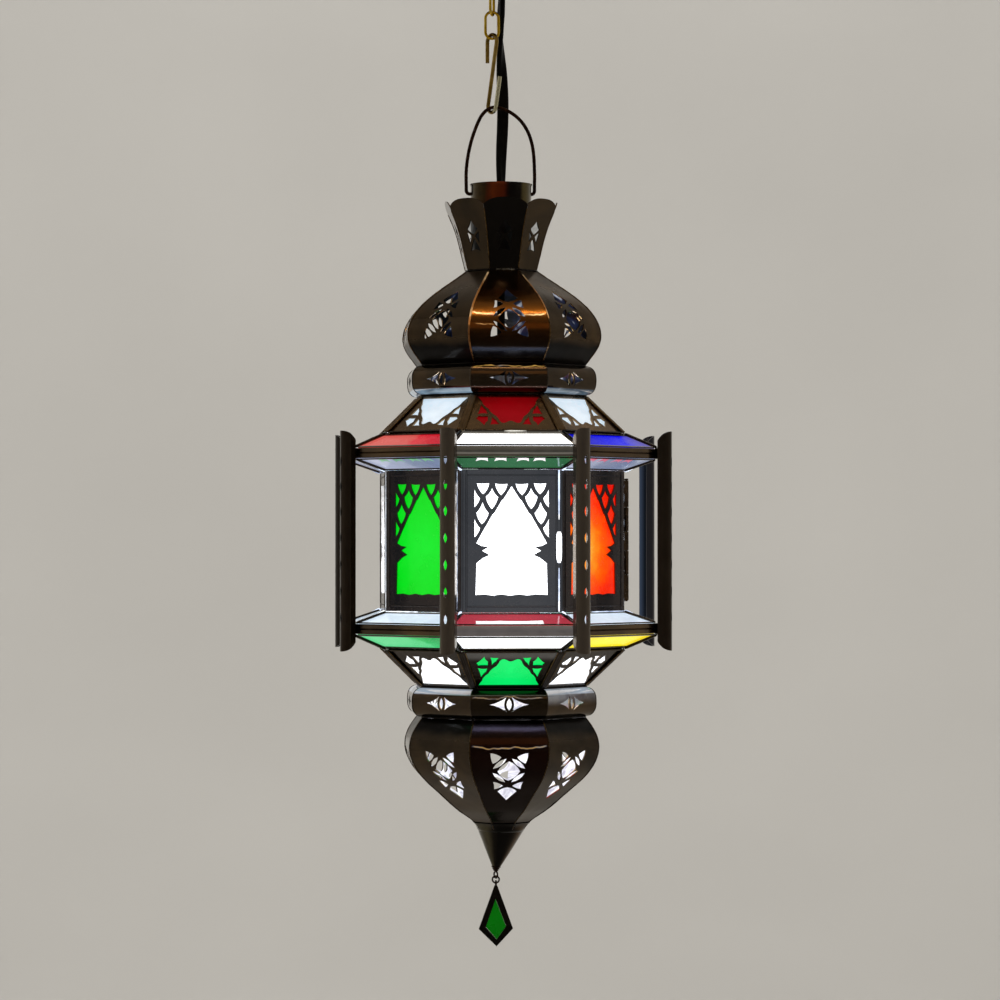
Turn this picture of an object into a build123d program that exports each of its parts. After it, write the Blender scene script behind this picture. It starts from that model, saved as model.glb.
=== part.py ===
from build123d import *
import math
import os

os.makedirs("parts", exist_ok=True)

# ---------------------------------------------------------------- driving dimensions (mm)
HANG = 400.0        # ceiling face above the lantern's mid-plane
SIDES = 8
SHEET = 0.8         # pierced sheet
FRAME = 0.6         # thin strip frames around the sloping panes
PANE = 2.0          # glass
SEAM = 0.04         # gap at soldered seams
WALL_A = 77.24      # apothem of the drum's walls
WALL_H = 45.2       # half height of the drum's walls
RIM_A = 98.7        # apothem of the rim bars' outer face
RIM_Z = (52.9, 59.5)
POST_R = 110.2      # radius to the centre of each post's half-round
POST_H = 70.5
CHAIN_X = -5.9      # the chain hangs a little to one side of the lantern's axis
PIVOT_Z = 227.0     # bail pivot
TIP_X = -3.4        # the drawn-out tip leans to one side
T = math.tan(math.radians(22.5))
C = math.cos(math.radians(22.5))
S = math.sin(math.radians(22.5))

nodes = {}


def put(name, *solids):
    """Collect solids, drawn about the lantern's mid-plane, under a node's name."""
    nodes.setdefault(name, []).extend(s for group in solids for s in (group if isinstance(group, list) else [group]))


def around(solid, faces):
    return [solid.rotate(Axis.Z, 45 * k) for k in faces]


ALL, EVEN, ODD = range(8), (0, 2, 4, 6), (1, 3, 5, 7)
ENDS, REST = (0, 4), (1, 2, 3, 5, 6, 7)


def bow(p, q, sag, n=4):
    """Points from p to q (q left out) on a shallow arc; a positive sag bulges to the left of p to q."""
    dx, dy = q[0] - p[0], q[1] - p[1]
    d = math.hypot(dx, dy)
    out = []
    for i in range(n):
        t = i / n
        h = 4 * sag * t * (1 - t)
        out.append((p[0] + dx * t - dy / d * h, p[1] + dy * t + dx / d * h))
    return out


def curved(corners, sags):
    pts = []
    for i, p in enumerate(corners):
        q = corners[(i + 1) % len(corners)]
        pts += bow(p, q, sags[i]) if abs(sags[i]) > 1e-6 else [p]
    return pts


def flip(pts):
    return [(-x, y) for x, y in reversed(pts)]


def both(shapes):
    return shapes + [flip(p) for p in shapes]


def on(plane, pts):
    return Wire.make_polygon([plane.from_local_coords(Vector(x, y, 0)) for x, y in pts], close=True)


def plate(outline, holes, plane, thick):
    """A flat plate whose outer face is in the plane and which is thick inwards."""
    face = Face(on(plane, outline), [on(plane, h) for h in holes])
    return Solid.extrude(face, plane.z_dir * -thick)


def wedge(gap=SEAM / 2):
    far = 220.0
    pts = [(0, -gap / S), (far * T - gap / C, -far), (-far * T + gap / C, -far)]
    f = Face(Wire.make_polygon([Vector(x, y, -320) for x, y in pts], close=True))
    return Solid.extrude(f, Vector(0, 0, 640))


def cut_to(solid, tool):
    got = solid.intersect(tool)
    found = got.solids() if hasattr(got, "solids") else [s for g in got for s in g.solids()]
    return max(found, key=lambda s: s.volume)


WEDGE = wedge()


def drill(solid, shapes, z0, lean=0.0):
    """Cut shapes (x, z) straight through the front wall, along Y."""
    tools = []
    for pts in shapes:
        f = Face(Wire.make_polygon([Vector(x + lean, -130, z0 + z) for x, z in pts], close=True))
        tools.append(Solid.extrude(f, Vector(0, 130, 0)))
    got = solid.cut(*tools)
    return max(got.solids(), key=lambda s: s.volume)


def gore(profile, thick):
    """A sheet bent in one direction only: the profile is (corner radius, height) along the seam."""
    n = len(profile)
    out = [(r * C, z) for r, z in profile]
    tang = []
    for i in range(n):
        a, b = out[max(i - 1, 0)], out[min(i + 1, n - 1)]
        d = math.hypot(b[0] - a[0], b[1] - a[1])
        tang.append(((b[0] - a[0]) / d, (b[1] - a[1]) / d))
    side = 1 if tang[0][1] < 0 else -1  # the inside is towards the axis
    inn = [(a + side * t[1] * thick, z - side * t[0] * thick) for (a, z), t in zip(out, tang)]
    po = [Vector(0, -a, z) for a, z in out]
    pi = [Vector(0, -a, z) for a, z in inn]
    w = Wire([Edge.make_spline(po), Edge.make_line(po[-1], pi[-1]), Edge.make_spline(list(reversed(pi))), Edge.make_line(pi[0], po[0])])
    f = Face(w)
    body = Solid.extrude(f.moved(Location((-60, 0, 0))), Vector(120, 0, 0))
    return cut_to(body, WEDGE)


def slope(a0, z0, a1, z1):
    """The plane of a sloping pane: its outer face goes from apothem a0 at z0 (lower) to a1 at z1 (upper). The
    origin is the middle of the lower edge and local y runs up the slope."""
    d = math.hypot(a1 - a0, z1 - z0)
    up = Vector(0, -(a1 - a0) / d, (z1 - z0) / d)
    zd = Vector(1, 0, 0).cross(up)
    return Plane(origin=(0, -a0, z0), x_dir=(1, 0, 0), z_dir=zd), d


def rod(path_edges, r):
    path = Wire(path_edges)
    start, way = path.position_at(0), path.tangent_at(0)
    return sweep(Plane(origin=start, z_dir=way) * Circle(r), path=path).solids()[0]


def turned(pts, x=0.0, y=0.0):
    """A body of revolution from (radius, z) corners."""
    f = Face(Wire.make_polygon([Vector(r, 0, z) for r, z in pts], close=True))
    return revolve(f, Axis.Z).solids()[0].moved(Location((x, y, 0)))


def flipped(solids):
    return [s.mirror(Plane.XY) for s in solids]


# ---------------------------------------------------------------- ceiling fitting
plate_top = HANG
disc = Cylinder(43.4, 2.0, align=(Align.CENTER, Align.CENTER, Align.MAX)).moved(Location((0, 0, plate_top)))
for y in (-30, 30):
    disc = disc - Cylinder(2.25, 10).moved(Location((0, y, plate_top)))
disc = disc - Cylinder(2.1, 10).moved(Location((CHAIN_X, 0, plate_top)))
disc = disc - Cylinder(6.0, 10).moved(Location((4.5, 6.5, plate_top)))
put("ceiling_plate", disc.solids())

bell = [(22.0, 364.2), (24.2, 364.0), (27.5, 365.2), (33.0, 368.6), (38.5, 374.5), (42.2, 382.0), (44.4, 390.5), (45.2, 399.6)]
edge_o = Edge.make_spline([Vector(r, 0, z) for r, z in bell])
inside = [(22.2, 365.2), (24.2, 365.0), (27.1, 366.1), (32.4, 369.4), (37.8, 375.1), (41.4, 382.4), (43.5, 390.7), (44.2, 399.6)]
edge_i = Edge.make_spline([Vector(r, 0, z) for r, z in reversed(inside)])
bell_face = Face(Wire([edge_o, Edge.make_line(edge_o @ 1, edge_i @ 0), edge_i, Edge.make_line(edge_i @ 1, edge_o @ 0)]))
put("ceiling_canopy", revolve(bell_face, Axis.Z).solids())

eye_z, eye_r, eye_wire = 365.6, 6.0, 1.3
eye = Torus(eye_r, eye_wire).rotate(Axis.X, 90).moved(Location((CHAIN_X, 0, eye_z)))
shank = Cylinder(2.0, 399.0 - (eye_z + eye_r - 0.6), align=(Align.CENTER, Align.CENTER, Align.MIN)).moved(Location((CHAIN_X, 0, eye_z + eye_r - 0.6)))
nut = extrude(RegularPolygon(4.6, 6), 3.0).moved(Location((CHAIN_X, 0, 394.6)))
put("ceiling_hook", (eye + shank + nut).solids())

# ---------------------------------------------------------------- chain links
LINK_W, LINK_L, LINK_D = 10.4, 19.3, 1.8


def link(zc, turn):
    r = (LINK_W - LINK_D) / 2
    h = (LINK_L - LINK_D) / 2 - r
    cx, cy = math.cos(math.radians(turn)), math.sin(math.radians(turn))
    v = lambda a, z: Vector(CHAIN_X + a * cx, a * cy, zc + z)
    path = [
        Edge.make_line(v(r, -h), v(r, h)),
        Edge.make_three_point_arc(v(r, h), v(0, h + r), v(-r, h)),
        Edge.make_line(v(-r, h), v(-r, -h)),
        Edge.make_three_point_arc(v(-r, -h), v(0, -h - r), v(r, -h)),
    ]
    return rod(path, LINK_D / 2)


UP_LINK_Z = 353.2
LOW_LINK_Z = 337.75
put("chain_link_upper", link(UP_LINK_Z, 70))
put("chain_link_lower", link(LOW_LINK_Z, 0))

# ---------------------------------------------------------------- S-hook, in a plane turned 55 degrees from the chain's lower link
HOOK_D, TURN = 2.55, math.radians(55)
RA, ZA, RB, ZB = 4.7, 326.8, 4.0, 284.7


def hook(u, z):
    return Vector(CHAIN_X + u * math.cos(TURN), -u * math.sin(TURN), z)


nz = (RA + RB) / (ZA - ZB)
nx = -math.sqrt(1 - nz * nz)
ta, tb = (-nx * RA, ZA - nz * RA), (nx * RB, ZB + nz * RB)
out_a = math.radians(-12)
end_b = (RB * math.cos(out_a), ZB + RB * math.sin(out_a))
tip_b = (end_b[0] - math.sin(out_a) * 20, end_b[1] + math.cos(out_a) * 20)
put(
    "s_hook",
    rod(
        [
            Edge.make_line(hook(-RA, 313.4), hook(-RA, ZA)),
            Edge.make_three_point_arc(hook(-RA, ZA), hook(0, ZA + RA), hook(*ta)),
            Edge.make_line(hook(*ta), hook(*tb)),
            Edge.make_three_point_arc(hook(*tb), hook(0, ZB - RB), hook(*end_b)),
            Edge.make_line(hook(*end_b), hook(*tip_b)),
        ],
        HOOK_D / 2,
    ),
)

# ---------------------------------------------------------------- bail
BAIL_D, BEND = 2.3, 2.4
FOOT_L, FOOT_R = -22.8, 22.0
bow_pts = [
    (FOOT_L, PIVOT_Z + BEND), (-22.9, 239.5), (-21.9, 250.5), (-19.4, 262.0), (-15.5, 273.0), (-11.0, 280.6), (-5.9, 283.75),
    (0.2, 283.3), (6.6, 280.5), (13.0, 275.2), (18.2, 266.9), (20.9, 257.4), (21.9, 246.0), (22.1, 237.0), (FOOT_R, PIVOT_Z + BEND),
]
q = BEND * (1 - math.sqrt(0.5))
at = lambda x, z: Vector(x, 0, z)
bail_path = [
    Edge.make_line(at(-17.0, PIVOT_Z), at(FOOT_L + BEND, PIVOT_Z)),
    Edge.make_three_point_arc(at(FOOT_L + BEND, PIVOT_Z), at(FOOT_L + q, PIVOT_Z + q), at(FOOT_L, PIVOT_Z + BEND)),
    Edge.make_spline([at(x, z) for x, z in bow_pts], tangents=[Vector(0, 0, 1), Vector(0, 0, -1)]),
    Edge.make_three_point_arc(at(FOOT_R, PIVOT_Z + BEND), at(FOOT_R - q, PIVOT_Z + q), at(FOOT_R - BEND, PIVOT_Z)),
    Edge.make_line(at(FOOT_R - BEND, PIVOT_Z), at(17.0, PIVOT_Z)),
]
put("bail", rod(bail_path, BAIL_D / 2))

# ---------------------------------------------------------------- flex from the ceiling fitting to the neck's grommet
CABLE_D = 6.0
cable_route = [
    (0.0, 0.0, 219.6), (0.0, 0.5, 237.5), (0.4, 3.0, 253.5), (1.6, 6.6, 270.0), (2.1, 8.1, 287.0), (1.4, 8.2, 304.5),
    (0.5, 7.9, 321.0), (0.2, 7.6, 337.5), (1.0, 7.2, 354.0), (1.7, 7.0, 369.5), (3.0, 6.8, 385.0), (4.0, 6.6, 399.4),
]
rv = [Vector(*p) for p in cable_route]
radii = []
for a, b, c in zip(rv, rv[1:], rv[2:]):
    turn = (b - a).get_angle(c - b)
    radii.append(0.45 * min((b - a).length, (c - b).length) / math.tan(math.radians(turn) / 2))
print("cable radii", [round(r) for r in radii])
cable_path = FilletPolyline(rv, radius=radii)
cable = rod(cable_path.edges(), CABLE_D / 2)
print("cable volume", round(cable.volume, 1), "section times length", round(math.pi * CABLE_D**2 / 4 * cable_path.length, 1), "length", round(cable_path.length, 1))
put("supply_cable", cable)

# ---------------------------------------------------------------- neck, collar, neck plate and grommet
neck = turned([(19.8, 168.0), (19.8, 231.6), (20.1, 232.5), (20.5, 233.3), (19.7, 233.3), (19.3, 232.6), (19.0, 231.8), (19.0, 168.0)])
neck = neck - Cylinder(1.4, 60).rotate(Axis.Y, 90).moved(Location((0, 0, PIVOT_Z)))
put("neck_tube", neck.solids())
put("neck_collar", turned([(19.84, 173.2), (22.6, 173.2), (22.0, 175.0), (19.84, 175.0)]))
put("neck_plate", turned([(6.2, 222.0), (18.95, 222.0), (18.95, 223.2), (6.2, 223.2)]))
put("cable_grommet", turned([(3.25, 219.8), (8.4, 219.8), (8.4, 221.95), (6.15, 221.95), (6.15, 223.25), (8.2, 223.25), (5.2, 228.6), (3.25, 228.6)]))

# ---------------------------------------------------------------- crown of flared petals
crown = gore([(24.4, 176.4), (26.9, 186.0), (29.6, 196.5), (33.4, 207.5), (37.4, 216.4), (40.2, 223.0)], SHEET)
arch = [(-40, 170), (40, 170), (40, 211.5)]
arch += [(x, 221.7 - 4.6 * abs(x / 14.5) ** 3) for x in (17, 15.5, 14, 12.5, 11, 9, 6, 3, 0, -3, -6, -9, -11, -12.5, -14, -15.5, -17)]
arch += [(-40, 211.5)]
arch_face = Face(Wire.make_polygon([Vector(x, -60, z) for x, z in arch], close=True))
crown = cut_to(crown, Solid.extrude(arch_face, Vector(0, 60, 0)))
crown_holes = [
    curved([(0, 10.4), (-4.5, 4.6), (0, 0.9), (4.5, 4.6)], [0.5, -0.3, -0.3, 0.5]),
    curved([(0, -1.5), (-4.1, -9.6), (0, -8.4), (4.1, -9.6)], [-0.4, 0, 0, -0.4]),
] + both([curved([(-5.1, 2.6), (-3.9, -5.0), (-1.3, -0.3)], [0, 0.3, -0.4])])
crown = drill(crown, crown_holes, 197.7)
put("crown_petals", around(crown, ALL))

# ---------------------------------------------------------------- dome and onion gores
petal_holes = both([
    curved([(-12.0, 0.5), (-10.4, -6.3), (-5.1, -2.1)], [-0.5, -0.6, -0.5]),
    curved([(-10.3, -9.6), (-1.7, -3.1)], [1.5, 1.5]),
    curved([(-10.3, -12.4), (-2.0, -18.6)], [-1.4, -1.4]),
    curved([(-9.6, -18.4), (-8.5, -23.4), (-3.0, -21.1)], [0.3, -0.4, -0.5]),
]) + [
    curved([(0, -4.8), (-7.2, -11.4), (0, -17.6), (7.2, -11.4)], [-0.9, -0.9, -0.9, -0.9]),
    curved([(-6.1, -24.9), (0, -31.0), (6.1, -24.9), (0, -22.2)], [0.0, 0.0, -0.6, -0.6]),
]

dome_profile = [(25.1, 175.6), (32.4, 170.6), (39.8, 165.8), (50.2, 158.6), (60.0, 150.0), (65.6, 142.0), (67.9, 134.0), (66.7, 127.0), (61.7, 119.4), (57.5, 114.0)]
dome = gore(list(reversed(dome_profile)), SHEET)
dome = drill(dome, [[(x, -z) for x, z in reversed(p)] for p in petal_holes], 130.4)
put("dome_gores", around(dome, ALL))

onion_profile = [(57.5, -114.2), (62.4, -120.8), (65.5, -127.2), (66.5, -133.7), (63.9, -143.1), (56.6, -153.0), (44.1, -163.9), (29.6, -175.8), (17.6, -184.9), (15.9, -187.4)]
onion = gore(onion_profile, SHEET)
onion = drill(onion, petal_holes, -135.2)
put("onion_gores", around(onion, ALL))

# ---------------------------------------------------------------- ring bands
ring_profile = [(57.4, 94.6), (61.4, 95.7), (63.9, 98.6), (64.7, 103.6), (64.2, 108.4), (61.8, 111.9), (57.4, 113.4)]
band = gore(ring_profile, SHEET)
ring_holes = both([curved([(-12.5, 0.0), (-1.7, -4.7), (-1.7, 4.7)], [0.75, 1.5, 0.75])]) + [curved([(0, 3.9), (0, -3.9)], [-1.7, -1.7])]
band = drill(band, ring_holes, 104.0)
put("upper_ring", around(band, ALL))
put("lower_ring", flipped(around(band, ALL)))

# ---------------------------------------------------------------- roof and skirt: pierced trapezoids and their glass
roof_plane, roof_len = slope(83.0 * C, 70.0, 57.9 * C, 93.8)


def width_at(s, a0, a1, d):
    return (a0 + (a1 - a0) * s / d) * T


ra0, ra1 = 83.0 * C, 57.9 * C
roof_line = [(-width_at(0, ra0, ra1, roof_len), 0), (width_at(0, ra0, ra1, roof_len), 0), (width_at(roof_len, ra0, ra1, roof_len), roof_len), (-width_at(roof_len, ra0, ra1, roof_len), roof_len)]
main = [(-2.6, 7.3), (-4.2, 6.5), (-5.8, 6.8), (-7.0, 8.4), (-7.7, 10.6), (-8.9, 12.8), (-11.0, 14.9), (-12.6, 17.2), (-13.5, 19.6), (-15.4, 21.6), (-16.7, 23.8), (-17.2, 26.2), (-18.3, 28.4), (-19.4, 30.9)]
main_open = main + [(-x, y) for x, y in reversed(main)] + bow((2.6, 7.3), (-2.6, 7.3), -1.3, 6)[1:]
roof_holes = [main_open] + both([
    curved([(-22.3, 10.8), (-17.0, 4.4), (-14.3, 8.8), (-14.2, 12.8), (-20.4, 12.9)], [0.3, 0.5, 0.2, 0.2, 0.5]),
    curved([(-13.3, 5.0), (-6.9, 5.3), (-9.3, 9.2), (-11.9, 12.9)], [0.3, 0.4, 0.3, 0.6]),
    curved([(-20.7, 14.6), (-13.9, 14.9), (-15.1, 18.6), (-17.9, 23.4)], [0.6, 0.3, 0.3, 0.3]),
])
roof = cut_to(plate(roof_line, roof_holes, roof_plane, SHEET), WEDGE)
put("roof_panels", around(roof, ALL))
put("skirt_panels", flipped(around(roof, ALL)))


def inset(plane, depth):
    return Plane(origin=plane.origin - plane.z_dir * depth, x_dir=plane.x_dir, z_dir=plane.z_dir)


roof_pane = plate([(-29.3, 1.2), (29.3, 1.2), (20.9, 31.6), (-20.9, 31.6)], [], inset(roof_plane, SHEET + 0.1), PANE)
put("roof_glass_red", around(roof_pane, EVEN))
put("roof_glass_clear", around(roof_pane, ODD))
put("skirt_glass_green", flipped(around(roof_pane, EVEN)))
put("skirt_glass_clear", flipped(around(roof_pane, ODD)))

# ---------------------------------------------------------------- eaves: framed panes between the rim and the roof
ea0, ez0, ea1, ez1 = 97.9, 60.2, 76.9, 69.4
eave_plane, eave_len = slope(ea0, ez0, ea1, ez1)
ew = lambda s: width_at(s, ea0, ea1, eave_len)
eave_frame = plate(
    [(-ew(0), 0), (ew(0), 0), (ew(eave_len), eave_len), (-ew(eave_len), eave_len)],
    [[(-ew(1.4) + 2.4, 1.4), (ew(1.4) - 2.4, 1.4), (ew(eave_len - 3.4) - 2.4, eave_len - 3.4), (-ew(eave_len - 3.4) + 2.4, eave_len - 3.4)]],
    eave_plane, FRAME,
)
eave_frame = cut_to(eave_frame, WEDGE)
put("upper_eave_frames", around(eave_frame, ALL))
put("lower_eave_frames", flipped(around(eave_frame, ALL)))
eave_pane = plate(
    [(-ew(1.3) + 1.4, 1.3), (ew(1.3) - 1.4, 1.3), (ew(eave_len - 1.6) - 1.4, eave_len - 1.6), (-ew(eave_len - 1.6) + 1.4, eave_len - 1.6)],
    [], inset(eave_plane, FRAME + 0.1), PANE,
)
put("upper_eave_glass_clear", around(eave_pane, EVEN))
put("upper_eave_glass_red", around(eave_pane, (7, 3)))
put("upper_eave_glass_blue", around(eave_pane, (1, 5)))
put("lower_eave_glass_clear", flipped(around(eave_pane, EVEN)))
put("lower_eave_glass_green", flipped(around(eave_pane, (7, 3))))
put("lower_eave_glass_yellow", flipped(around(eave_pane, (1, 5))))

# ---------------------------------------------------------------- rims: double strips with a groove between
zl, zh = RIM_Z
zm = (zl + zh) / 2
rim_sec = [(RIM_A - 1.9, zl), (RIM_A - 0.5, zl), (RIM_A, zl + 0.5), (RIM_A, zm - 0.55), (RIM_A - 0.55, zm), (RIM_A, zm + 0.55), (RIM_A, zh - 0.5), (RIM_A - 0.5, zh), (RIM_A - 1.9, zh)]
rim_face = Face(Wire.make_polygon([Vector(-60, -a, z) for a, z in rim_sec], close=True))
rim_bar = cut_to(Solid.extrude(rim_face, Vector(120, 0, 0)), WEDGE)
put("upper_rim", around(rim_bar, ALL))
put("lower_rim", flipped(around(rim_bar, ALL)))

# ---------------------------------------------------------------- soffit and sill panes, from the rim in to the drum
sa0, sz0, sa1, sz1 = 77.34, 45.35, 96.55, 52.15
soffit_plane, soffit_len = slope(sa0, sz0, sa1, sz1)
sw = lambda s: width_at(s, sa0, sa1, soffit_len)
soffit_frame = plate(
    [(-sw(0), 0), (sw(0), 0), (sw(soffit_len), soffit_len), (-sw(soffit_len), soffit_len)],
    [[(-sw(1.2) + 1.7, 1.2), (sw(1.2) - 1.7, 1.2), (sw(soffit_len - 1.0) - 1.7, soffit_len - 1.0), (-sw(soffit_len - 1.0) + 1.7, soffit_len - 1.0)]],
    soffit_plane, FRAME,
)
soffit_frame = cut_to(soffit_frame, WEDGE)
put("soffit_frames", around(soffit_frame, ALL))
put("sill_frames", flipped(around(soffit_frame, ALL)))
soffit_pane = plate(
    [(-sw(0.6) + 1.1, 0.6), (sw(0.6) - 1.1, 0.6), (sw(soffit_len - 0.9) - 1.1, soffit_len - 0.9), (-sw(soffit_len - 0.9) + 1.1, soffit_len - 0.9)],
    [], inset(soffit_plane, FRAME + 0.1), PANE,
)
put("soffit_glass_green", around(soffit_pane, ENDS))
put("soffit_glass_clear", around(soffit_pane, REST))
put("sill_glass_red", flipped(around(soffit_pane, ENDS)))
put("sill_glass_clear", flipped(around(soffit_pane, REST)))

# ---------------------------------------------------------------- drum walls: a pointed opening under a scale lattice
wall_plane = Plane(origin=(0, -WALL_A, 0), x_dir=(1, 0, 0), z_dir=(0, -1, 0))
key = [
    (0.0, 34.5), (-5.3, 26.2), (-6.0, 25.9), (-11.0, 17.5), (-12.0, 16.8), (-16.9, 8.2), (-18.0, 6.4), (-22.3, -1.4),
    (-19.0, -3.1), (-14.4, -3.7), (-18.6, -6.1), (-13.8, -8.8), (-18.2, -10.8), (-22.3, -14.1), (-22.5, -24.0), (-22.8, -34.0),
]
scallop = [(-17.0, -33.6), (-12.0, -34.4), (-6.7, -33.6), (-0.9, -34.4), (4.5, -33.6), (9.9, -34.3), (15.3, -33.6)]
key_open = key + scallop + [(-x, y) for x, y in reversed(key[1:])]
lattice = both([
    curved([(-21.9, 36.4), (-18.0, 29.5), (-14.2, 36.4)], [-0.7, -0.7, 0.3]),
    curved([(-10.4, 36.2), (-6.7, 28.9), (-2.6, 36.0)], [-0.7, -0.7, 0.3]),
    curved([(-12.3, 33.2), (-16.3, 28.0), (-12.5, 20.2), (-8.6, 27.7)], [0.5, -0.7, -0.6, 0.5]),
    curved([(-23.5, 32.4), (-23.5, 21.3), (-20.1, 27.0)], [0.0, -0.5, 0.4]),
    curved([(-18.4, 24.4), (-22.2, 17.8), (-18.8, 10.6), (-14.6, 17.6)], [0.5, -0.7, -0.6, 0.5]),
    curved([(-23.5, 13.8), (-23.5, 2.4), (-20.0, 8.1)], [0.0, -0.5, 0.4]),
])
half_w = WALL_A * T - 0.42
wall = plate([(-half_w, -WALL_H), (half_w, -WALL_H), (half_w, WALL_H), (-half_w, WALL_H)], [key_open] + lattice, wall_plane, SHEET)
put("wall_panels", around(wall, (0, 1, 3, 4, 5, 6, 7)))
wall_pane = plate([(-26.5, -38.5), (26.5, -38.5), (26.5, 39.0), (-26.5, 39.0)], [], inset(wall_plane, SHEET + 0.1), PANE)
put("wall_glass_opal", around(wall_pane, (0, 4, 6)))
put("wall_glass_green", around(wall_pane, (7, 3)))
put("wall_glass_amber", around(wall_pane, (1, 5)))

# ---------------------------------------------------------------- door in the wall on the +X side, hung on its front edge
HX, HY = -28.2, -(WALL_A + 1.76)   # hinge axis, before the turn to +X
KNUCKLE, PIN = 1.5, 0.8


def barrel(z0, z1, r):
    return Cylinder(r, z1 - z0, align=(Align.CENTER, Align.CENTER, Align.MIN)).moved(Location((HX, HY, z0)))


def block(x0, x1, y0, y1, z0, z1):
    return Box(x1 - x0, y1 - y0, z1 - z0).moved(Location(((x0 + x1) / 2, (y0 + y1) / 2, (z0 + z1) / 2)))


jamb = plate([(-half_w, -WALL_H), (half_w, -WALL_H), (half_w, WALL_H), (-half_w, WALL_H)], [[(-25.0, -36.4), (25.6, -36.4), (25.6, 37.4), (-25.0, 37.4)]], wall_plane, SHEET)
fixed_spans, door_spans = [(-38.4, -22), (-6, 6), (22, 39.2)], [(-21.7, -6.3), (6.3, 21.7)]
for z0, z1 in fixed_spans:
    jamb = jamb + barrel(z0, z1, KNUCKLE) + block(HX - 1.5, HX - 0.2, HY + 0.2, -WALL_A + 0.4, z0, z1)
for z0, z1 in fixed_spans:
    jamb = jamb - barrel(z0 - 0.1, z1 + 0.1, PIN + 0.05)
door = plate([(-26.2, -39.0), (27.8, -39.0), (27.8, 39.3), (-26.2, 39.3)], [key_open] + lattice, Plane(origin=(0, -(WALL_A + 1.1), 0), x_dir=(1, 0, 0), z_dir=(0, -1, 0)), SHEET)
for z0, z1 in door_spans:
    door = door + barrel(z0, z1, KNUCKLE) + block(HX + 0.2, -26.0, -(WALL_A + 1.1), -(WALL_A + 0.3), z0, z1)
for z0, z1 in door_spans:
    door = door - barrel(z0 - 0.1, z1 + 0.1, PIN + 0.05)
door_pane = plate([(-22.9, -34.9), (24.1, -34.9), (24.1, 36.0), (-22.9, 36.0)], [], Plane(origin=(0, -(WALL_A + 0.25), 0), x_dir=(1, 0, 0), z_dir=(0, -1, 0)), PANE)
knob_pts = [(0.0, 0.0), (1.1, 0.0), (1.1, 1.6), (2.0, 2.2), (2.3, 3.2), (1.8, 4.2), (0.9, 4.7), (0.0, 4.8)]
knob = revolve(Face(Wire.make_polygon([Vector(r, 0, z) for r, z in knob_pts], close=True)), Axis.Z).solids()[0]
knob = knob.rotate(Axis.X, 90).moved(Location((25.6, -(WALL_A + 1.12), -2.0)))
put("door_frame", [s.rotate(Axis.Z, 90) for s in jamb.solids()])
put("door_panel", [s.rotate(Axis.Z, 90) for s in door.solids()])
put("door_glass", door_pane.rotate(Axis.Z, 90))
put("door_pull", knob.rotate(Axis.Z, 90))
put("door_hinge_pin", [s.rotate(Axis.Z, 90) for s in (barrel(-39.0, 39.9, PIN) + barrel(39.4, 40.4, 1.3)).solids()])

# ---------------------------------------------------------------- posts: half-round strips, curved side out, tongue ends
post_face = (Circle(5.0) - Circle(4.3)).face()
post = Solid.extrude(post_face.moved(Location((0, -POST_R, -POST_H))), Vector(0, 0, 2 * POST_H))
post = post - block(-6, 6, -POST_R, -POST_R + 6, -80, 80)
for x0 in (-5.0, 4.3):
    post = post + block(x0, x0 + 0.7, -POST_R, -POST_R + 3.2, -POST_H, POST_H)
tongue = [(0.0, 0.0), (1.0, 0.2), (2.5, 0.7), (4.2, 1.55), (5.2, 2.25), (6.0, 3.05), (6.8, 3.9), (7.6, 4.9), (8.2, 6.0)]
side = [(-(POST_R + 8), POST_H)] + [(-(POST_R + 5.0) + d, POST_H - h) for d, h in tongue]
side = side + [(y, -z) for y, z in reversed(side)]
side_face = Face(Wire.make_polygon([Vector(-20, y, z) for y, z in side], close=True))
post = cut_to(post.solids()[0], Solid.extrude(side_face, Vector(40, 0, 0)))
oval = curved([(0, 3.4), (0, -3.4)], [-1.15, -1.15])
slots = []
for z in (51.0, 35.0, 18.6, 2.0, -15.0, -32.0, -49.0):
    f = Face(Wire.make_polygon([Vector(x, -POST_R - 9, z + y) for x, y in oval], close=True))
    slots.append(Solid.extrude(f, Vector(0, 7.5, 0)))
post = max(post.cut(*slots).solids(), key=lambda s: s.volume)
put("posts", [post.rotate(Axis.Z, 22.5 + 45 * k) for k in ALL])

# ---------------------------------------------------------------- drawn-out tip, eye, ring and pendant
TIP_Z = -215.2
sections = [
    Plane(origin=(0, 0, -187.6)) * Circle(15.5),
    Plane(origin=(TIP_X * 0.42, 0, -200.6)) * Circle(9.0),
    Plane(origin=(TIP_X, 0, TIP_Z)) * Circle(1.3),
]
tip = loft(sections)
hollow = loft([
    Plane(origin=(0, 0, -187.4)) * Circle(14.6),
    Plane(origin=(TIP_X * 0.42, 0, -200.6)) * Circle(8.0),
    Plane(origin=(TIP_X * 0.85, 0, -211.0)) * Circle(1.2),
])
put("tip_cone", (tip - hollow).solids())
WIRE = 0.55
tip_eye = Torus(2.1, WIRE).rotate(Axis.Y, 90).rotate(Axis.Z, 28).moved(Location((TIP_X, 0, -217.85)))
put("tip_eye", tip_eye.solids())
put("pendant_ring", Torus(2.2, WIRE).rotate(Axis.X, 90).moved(Location((TIP_X, 0, -220.95))).solids())


def slab(pts, thick):
    f = Face(Wire.make_polygon([Vector(TIP_X + x, thick / 2, z) for x, z in pts], close=True))
    return Solid.extrude(f, Vector(0, -thick, 0))


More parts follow.
